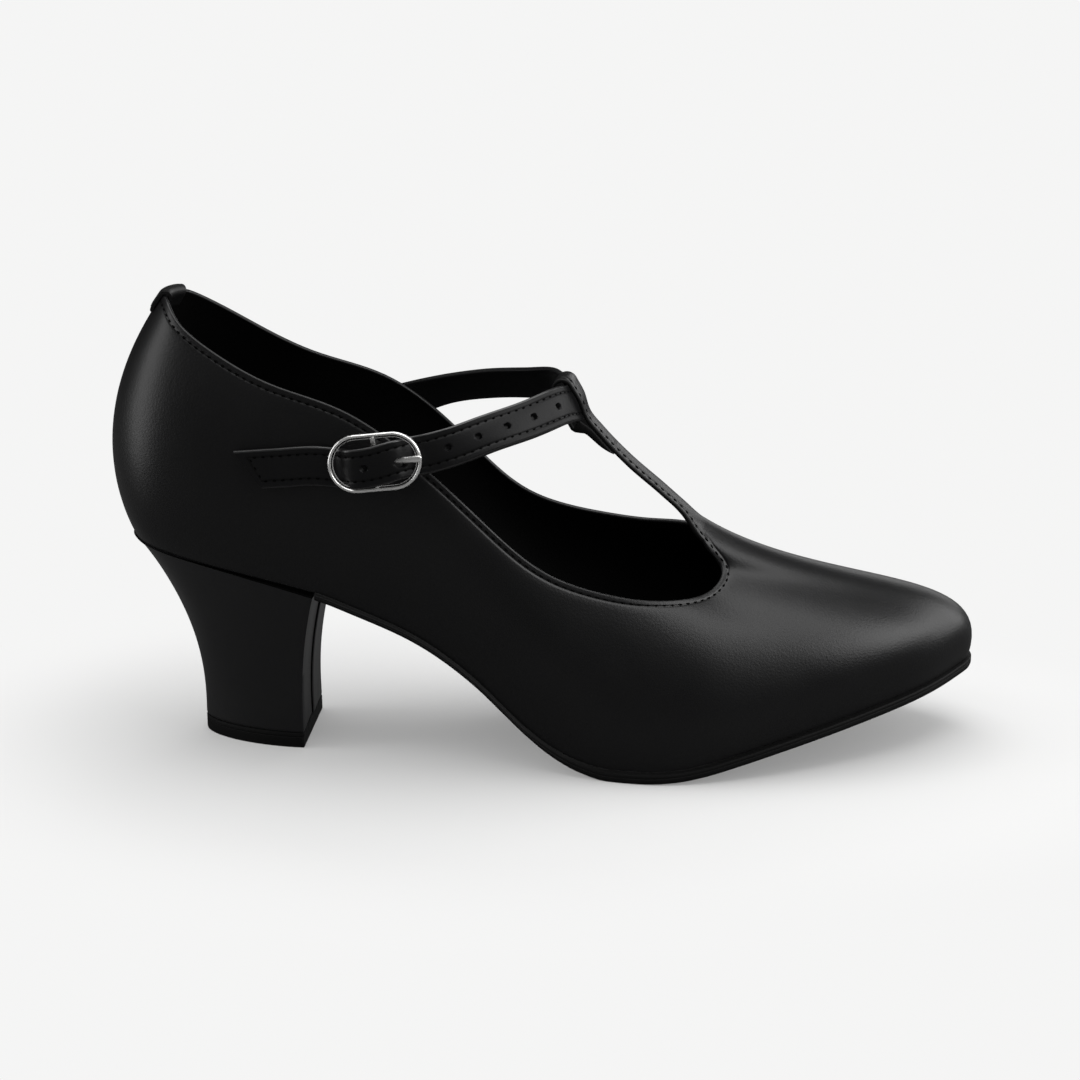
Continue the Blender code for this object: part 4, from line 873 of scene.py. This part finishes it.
def makeBuckle(s):
    # frame: its cross-section carried round a stadium; bar: a wire that dips to the quarter;
    # prong: a flat wire that loops round the bar and lies on the frame's front arc
    radius = s["height"] / 2 - s["wire"] / 2
    straight = s["length"] / 2 - s["wire"] / 2 - radius
    turn = np.linspace(-np.pi / 2, np.pi / 2, 49)
    right = np.stack([straight + radius * np.cos(turn), radius * np.sin(turn)], 1)
    flat = np.concatenate([right, -right])
    aside = unit(np.roll(flat, -1, 0) - np.roll(flat, 1, 0))
    outward = np.stack([aside[:, 1], -aside[:, 0]], 1)
    profile = np.array(framePath)
    uv = flat[:, None] + outward[:, None] * profile[None, :, :1]
    n = np.broadcast_to(frameHeight + profile[None, :, 1:], uv.shape[:2] + (1,))
    points = onBuckle(np.concatenate([uv, n], 2))
    index = gridIndex(points)
    faces = gridQuads(np.concatenate([index, index[:1]]), True)
    shoulder = 0.75 * frameHeight + 0.25 * barHeight
    dip = [(1.0, frameHeight), (0.80, shoulder), (0.55, barHeight), (0, barHeight)]
    keys = [(0, -r * radius, n) for r, n in dip] + [(0, r * radius, n) for r, n in dip[-2::-1]]
    line = openSpline(onBuckle(keys), np.linspace(0, 1, 61))
    bar, barFaces = tube(line, uAxis, s["barWire"], s["barWire"], 20)
    flatPoints = points.reshape(-1, 3)
    a, b, c, d = (flatPoints[faces[:, k]] for k in range(4))
    middle = flatPoints.mean(0)
    facing = (np.cross(c - a, d - b) * (a - middle)).sum()
    if facing < 0:
        faces = faces[:, ::-1]
    allFaces = faces.tolist() + [[v + len(flatPoints) for v in f] for f in barFaces]
    # the bottom of the groove between lip and band is painted black as shade
    slots = np.zeros(len(allFaces), int)
    slots[: len(faces)] = np.isin(np.arange(len(faces)) % len(framePath), (4, 5, 6))
    piece = addMesh("buckleFrame", np.concatenate([flatPoints, bar]), allFaces,
                    [nickel, edgePaintAndGrooveShade], slots, sharp=35)
    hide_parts("buckle_frame")
    hook = np.radians(np.arange(300, 89, -15))
    path = [(prongLoop * math.cos(a), barHeight + prongLoop * math.sin(a)) for a in hook]
    rest = frameHeight + s["wire"] / 2 + gap + s["prongThickness"] / 2
    reach = s["length"] / 2 - s["wire"] / 2
    level = barHeight + prongLoop
    for share, rise in ((0.18, 0), (0.36, 0), (0.6, 0.12), (0.8, 0.66), (1, 1), (1.075, 0.93)):
        path.append((share * reach, level + rise * (rest - level)))
    line = openSpline(onBuckle([(u, 0, n) for u, n in path]), np.linspace(0, 1, 90))
    rod, rodFaces = tube(line, vAxis, s["prongWidth"], s["prongThickness"], 20)
    piece = addMesh("buckleProng", rod, rodFaces, [nickel], sharp=50)
    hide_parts("buckle_prong")


makeBuckle(buckle)
print("buckle made")
soleSizes = {
    "margin": 0.7, "breast": -60.5, "count": 110,
    # the edge from the bottom up: set in from the outline, share of the thickness
    "edge": [
        (6, 0), (0.55, 0), (0.22, 0.06), (0.02, 0.22), (0, 0.40), (0.04, 0.47), (0.20, 0.51), (0.04, 0.55),
        (0, 0.62), (0.03, 0.72), (0.20, 0.82), (0.6, 0.86), (1.2, 0.88), (2.0, 1), (3.2, 1),
    ],
}
heelSizes = {
    "front": -65.8, "length": 30.6, "width": 31.6, "shift": -1.1,  # foot of the heel
    "pitch": 2.35,  # how late it spreads to the seat
    "lift": 4.3,  # height of the rubber
    "creviceFrom": 0.975,  # share of the height
}


def outline(margin, xFrom, xTo, count):
    # the sole's outline set out by a margin, as halves from xFrom to the tip the other way
    feather = periodicSpline(sections[:, None, :2], 12)[:, 0]
    along = unit(np.roll(feather, -1, 0) - np.roll(feather, 1, 0))
    line = feather + margin * np.stack([along[:, 1], -along[:, 0]], 1)
    forward, toe, halves = xTo > xFrom, toeRow * 12, []
    for half in (line[: toe + 1], np.concatenate([line[toe:], line[:1]])[::-1]):
        half = half if forward else half[::-1]
        start = int(np.argmax(half[:, 0] >= xFrom if forward else half[:, 0] <= xFrom))
        a, b = half[start - 1], half[start]
        begin = a + (b - a) * (xFrom - a[0]) / (b[0] - a[0])
        kept = np.concatenate([[begin], half[start:]])
        at = lengths(kept)
        spread = np.sin(np.linspace(0, np.pi / 2, count)) * 0.45 + np.linspace(0, 1, count) * 0.55
        halves.append(readAt(kept, at, spread * at[-1]))
    return halves


def fillBetween(index, half):
    # quads that join the two halves of a ring, whose middle point is half
    last = 2 * half
    return [[index[i], index[i + 1], index[last - i - 1], index[last - i]] if last - i - 1 > i + 1
            else [index[i], index[i + 1], index[last - i]] for i in range(half)]


def makeSole(s):
    # rings of the outline, set in and lifted by the table of the edge, from the bottom up
    rings = []
    for inset, share in s["edge"]:
        rear = s["breast"] + 0.05 + (min(inset, 0.3) if share < 0.5 else 0)
        outer, inner = outline(s["margin"] - inset, rear, 240, s["count"])
        flat = np.concatenate([outer, inner[-2::-1]])
        low, high = soleBottom(flat[:, 0]), soleTop(flat[:, 0])
        rings.append(np.concatenate([flat, (low + (high - low) * share)[:, None]], 1))
    rings, half = np.array(rings), s["count"] - 1
    index = gridIndex(rings)
    faces = gridQuads(index, True).tolist()
    faces += [f[::-1] for f in fillBetween(index[0].tolist(), half)]
    faces += fillBetween(index[-1].tolist(), half)
    piece = addMesh("outsoleLeather", rings.reshape(-1, 3), faces, [soleLeather])
    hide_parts("outsole")
    rings = []
    for inset, up in ((0.3, 0), (0, 0.4), (0, 1.0), (0.5, 1.5), (2.5, 1.5)):
        margin = -(wall / 0.85 + 2 * gap) - inset
        front, rear = outline(margin, s["breast"], 240, 90), outline(margin, s["breast"], -240, 40)
        flat = np.concatenate([rear[0][::-1], front[0][1:], front[1][-2::-1], rear[1][1:]])
        rings.append(np.concatenate([flat, (soleTop(flat[:, 0]) + gap + up)[:, None]], 1)[:-1])
    rings = np.array(rings)
    index = gridIndex(rings)
    count = rings.shape[1]
    caps = []
    for row, flip in ((index[0].tolist(), True), (index[-1].tolist(), False)):
        # quads across the ring: each point meets the one as far from the back on the other side
        for i in range(count // 2):
            f = [row[i], row[i + 1], row[(count - i - 1) % count], row[(count - i) % count]]
            f = list(dict.fromkeys(f))
            if len(f) > 2:
                caps.append(f[::-1] if flip else f)
    faces = gridQuads(index, True).tolist() + caps
    piece = addMesh("insoleSock", rings.reshape(-1, 3), faces, [lining])
    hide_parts("insole")


makeSole(soleSizes)
print("sole made")


def heelRing(level, seat, s, grow=0.0):
    # the heel's outline at a level: superellipse at its foot, spreading late to the seat
    turn = np.linspace(0, np.pi / 2, len(seat[0]))
    reach, spread = np.sin(turn) ** (2 / 1.75), np.cos(turn) ** (2 / 1.75)
    waist = 1 - 0.02 * math.sin(math.pi * min(level * 1.3, 1)) + grow
    middle = np.array([s["front"] - s["length"] / 2, s["shift"]])
    halves = []
    for side, high in zip((-1, 1), seat):
        low = np.stack([s["front"] - s["length"] * reach, side * s["width"] / 2 * spread + s["shift"]], 1)
        low = middle + (low - middle) * waist
        halves.append(low + (high - low) * level ** s["pitch"])
    return halves


def drawIn(flat, middle, amount):
    # points moved towards a middle by an amount
    return flat - unit(flat - middle) * amount


def roundCorners(flat, corners, middle, depth):
    # the front corners drawn in by up to a depth, over 1.1 mm
    away = np.min([np.linalg.norm(flat - corner, axis=1) for corner in corners], axis=0)
    return drawIn(flat, middle, (depth * np.clip(1 - away / 1.1, 0, 1) ** 2)[:, None])


def makeHeel(s):
    # rings of the outline from the rubber to the seat, closed in front by the breast
    count, breastColumns, crevice = 90, 37, s["creviceFrom"]
    middle = np.array([s["front"] - s["length"] / 2, s["shift"]])
    seat = outline(soleSizes["margin"], soleSizes["breast"], -240, count)
    rings = []
    levels = np.concatenate([
        [0, 0.003, 0.008], np.linspace(0.015, 0.955, 42), [0.968, crevice, 0.980, 0.986, 0.992, 1.0]])
    for level in levels:
        tuck = 0.25 * (1 - min(level / 0.008, 1)) ** 1.5
        outer, inner = heelRing(level, seat, s)
        # breast between the front corners, hollowed a little, lapped by one side down its middle
        t = 0.5 + 0.5 * np.sinh(4.5 * np.linspace(-1, 1, breastColumns)[1:-1]) / math.sinh(4.5)
        front = inner[0] + (outer[0] - inner[0]) * t[:, None]
        y = (t - 0.5) * np.linalg.norm(outer[0] - inner[0])
        front[:, 0] -= 0.5 * (1 - (2 * t - 1) ** 2) + 0.3 * np.exp(-((y / 0.4) ** 2))
        front[:, 0] += 0.3 * (np.clip(-y / 0.25, -1, 1) + 1) * np.clip(1 - np.abs(y) / 12, 0, 1)
        flat = np.concatenate([outer, inner[-2::-1], front])
        flat = drawIn(flat, middle, tuck)
        flat = roundCorners(flat, (outer[0], inner[0]), middle, 0.45)
        # a crevice under the upper that opens towards the front
        ahead = np.clip((flat[:, 0] + 114) / 54, 0, 1)
        sunk = unit(flat - middle) * np.stack([1 - ahead, np.ones(len(flat))], 1)
        flat = flat - sunk * ((0.25 + 1.0 * ahead) * np.clip((level - crevice) / 0.006, 0, 1))[:, None]
        drop = 0.35 + 1.5 * ahead ** 2
        foot = s["lift"] + gap
        head = soleTop(flat[:, 0])
        z = foot + (head - drop - foot) * min(level / crevice, 1)
        z += drop * max(level - crevice, 0) / (1 - crevice)
        rings.append(np.concatenate([flat, z[:, None]], 1))
    rings = np.array(rings)
    index = gridIndex(rings)
    low, high = index[0].tolist(), index[-1].tolist()
    faces = gridQuads(index, True)[:, ::-1].tolist()
    hubs = np.stack([rings[0].mean(0), rings[-1].mean(0)])
    hubs[1, 2] = rings[-1][:, 2].mean()
    total = index.size
    faces += [[a, b, total] for a, b in zip(low, low[1:] + low[:1])]
    faces += [[b, a, total + 1] for a, b in zip(high, high[1:] + high[:1])]
    # finishes: 0 the cover, 1 black: painted shade in the crevice and the breast seam, 2 the breast, lighter
    # as a painted reflection
    slots = np.zeros(index.shape, int)[:-1]
    # the breast's lighter finish is a painted reflection of the floor
    slots[:, 2 * count - 1 :] = 2
    # the crevice rows get black as painted shade
    slots[levels[:-1] >= crevice - 0.001] = 1
    slots[:, 2 * count - 1 + np.arange(breastColumns - 2)[np.abs(y) < 0.3]] = 1
    slots = np.append(slots, np.zeros(2 * index.shape[1], int))
    piece = addMesh("heelBlock", np.concatenate([rings.reshape(-1, 3), hubs]), faces,
                    [heelLeather, threadBlackAndCreviceShade, breastPaintedReflection], slots, sharp=45)
    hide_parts("heel_block")
    # rubber top piece: rounded at the floor, a fine line below its upper edge
    rings = []
    for inset, z in ((6, 0), (0.5, 0), (0.12, 0.12), (0, 0.5), (0, 2.9), (0.22, 3.05), (0.22, 3.2), (0, 3.35),
                     (0, 4.0), (0.15, 4.25), (0.4, 4.3), (6, 4.3)):
        outer, inner = heelRing(0, seat, s)
        flat = drawIn(np.concatenate([outer, inner[-2::-1]]), middle, inset)
        flat = roundCorners(flat, (outer[0], inner[0]), middle, 0.4)
        rings.append(np.concatenate([flat, np.full((len(flat), 1), float(z))], 1))
    rings = np.array(rings)
    index = gridIndex(rings)
    faces = gridQuads(index, True)[:, ::-1].tolist()
    faces += fillBetween(index[0].tolist(), count - 1)
    faces += [f[::-1] for f in fillBetween(index[-1].tolist(), count - 1)]
    piece = addMesh("heelTopPiece", rings.reshape(-1, 3), faces, [rubber], sharp=45)
    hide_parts("heel_top_piece")


makeHeel(heelSizes)
print("heel made")
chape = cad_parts["buckle_chape"]
chape.data.materials.clear()
chape.data.materials.append(tabLeather)


def makeFloor(s):
    # pale card, darker to glossy rays so that the leather's underside stays dark; away from
    # the shoe the camera sees it fade into the backdrop
    made, tree, shader = newMaterial("paleFloor")
    tree.nodes.remove(shader)
    rays = addNode(tree, "LightPath").outputs
    pale, dark = (addNode(tree, "BsdfDiffuse", {"Color": (*s[key], 1)}).outputs[0]
                  for key in ("floor", "glossFloor"))
    card = addNode(tree, "MixShader", {0: rays["Is Glossy Ray"], 1: pale, 2: dark}).outputs[0]
    place = addNode(tree, "TexCoord").outputs["Object"]
    stretched = addNode(tree, "Mapping", {0: place, "Scale": (1.0, 1.5, 1.0)}).outputs[0]
    far = addNode(tree, "VectorMath", {0: stretched}, operation="LENGTH").outputs["Value"]
    near, end = s["fade"]
    fade = addNode(tree, "MapRange", {"Value": far, "From Min": near, "From Max": end},
                   interpolation_type="SMOOTHERSTEP").outputs[0]
    glow = addNode(tree, "Emission", {"Color": (*s["backdrop"], 1)}).outputs[0]
    soft = mathNode(tree, "MULTIPLY_ADD", fade, 1 - s["fill"], s["fill"])
    share = mathNode(tree, "MULTIPLY", soft, rays["Is Camera Ray"])
    seen = addNode(tree, "MixShader", {0: share, 1: card, 2: glow}).outputs[0]
    tree.links.new(seen, tree.nodes["Material Output"].inputs["Surface"])
    mesh = bpy.data.meshes.new("floor")
    mesh.from_pydata([(-6, -6, 0), (6, -6, 0), (6, 6, 0), (-6, 6, 0)], [], [(0, 1, 2, 3)])
    mesh.materials.append(made)
    floor = bpy.data.objects.new("floor", mesh)
    bpy.context.scene.collection.objects.link(floor)


makeFloor(studio)
print("floor made")
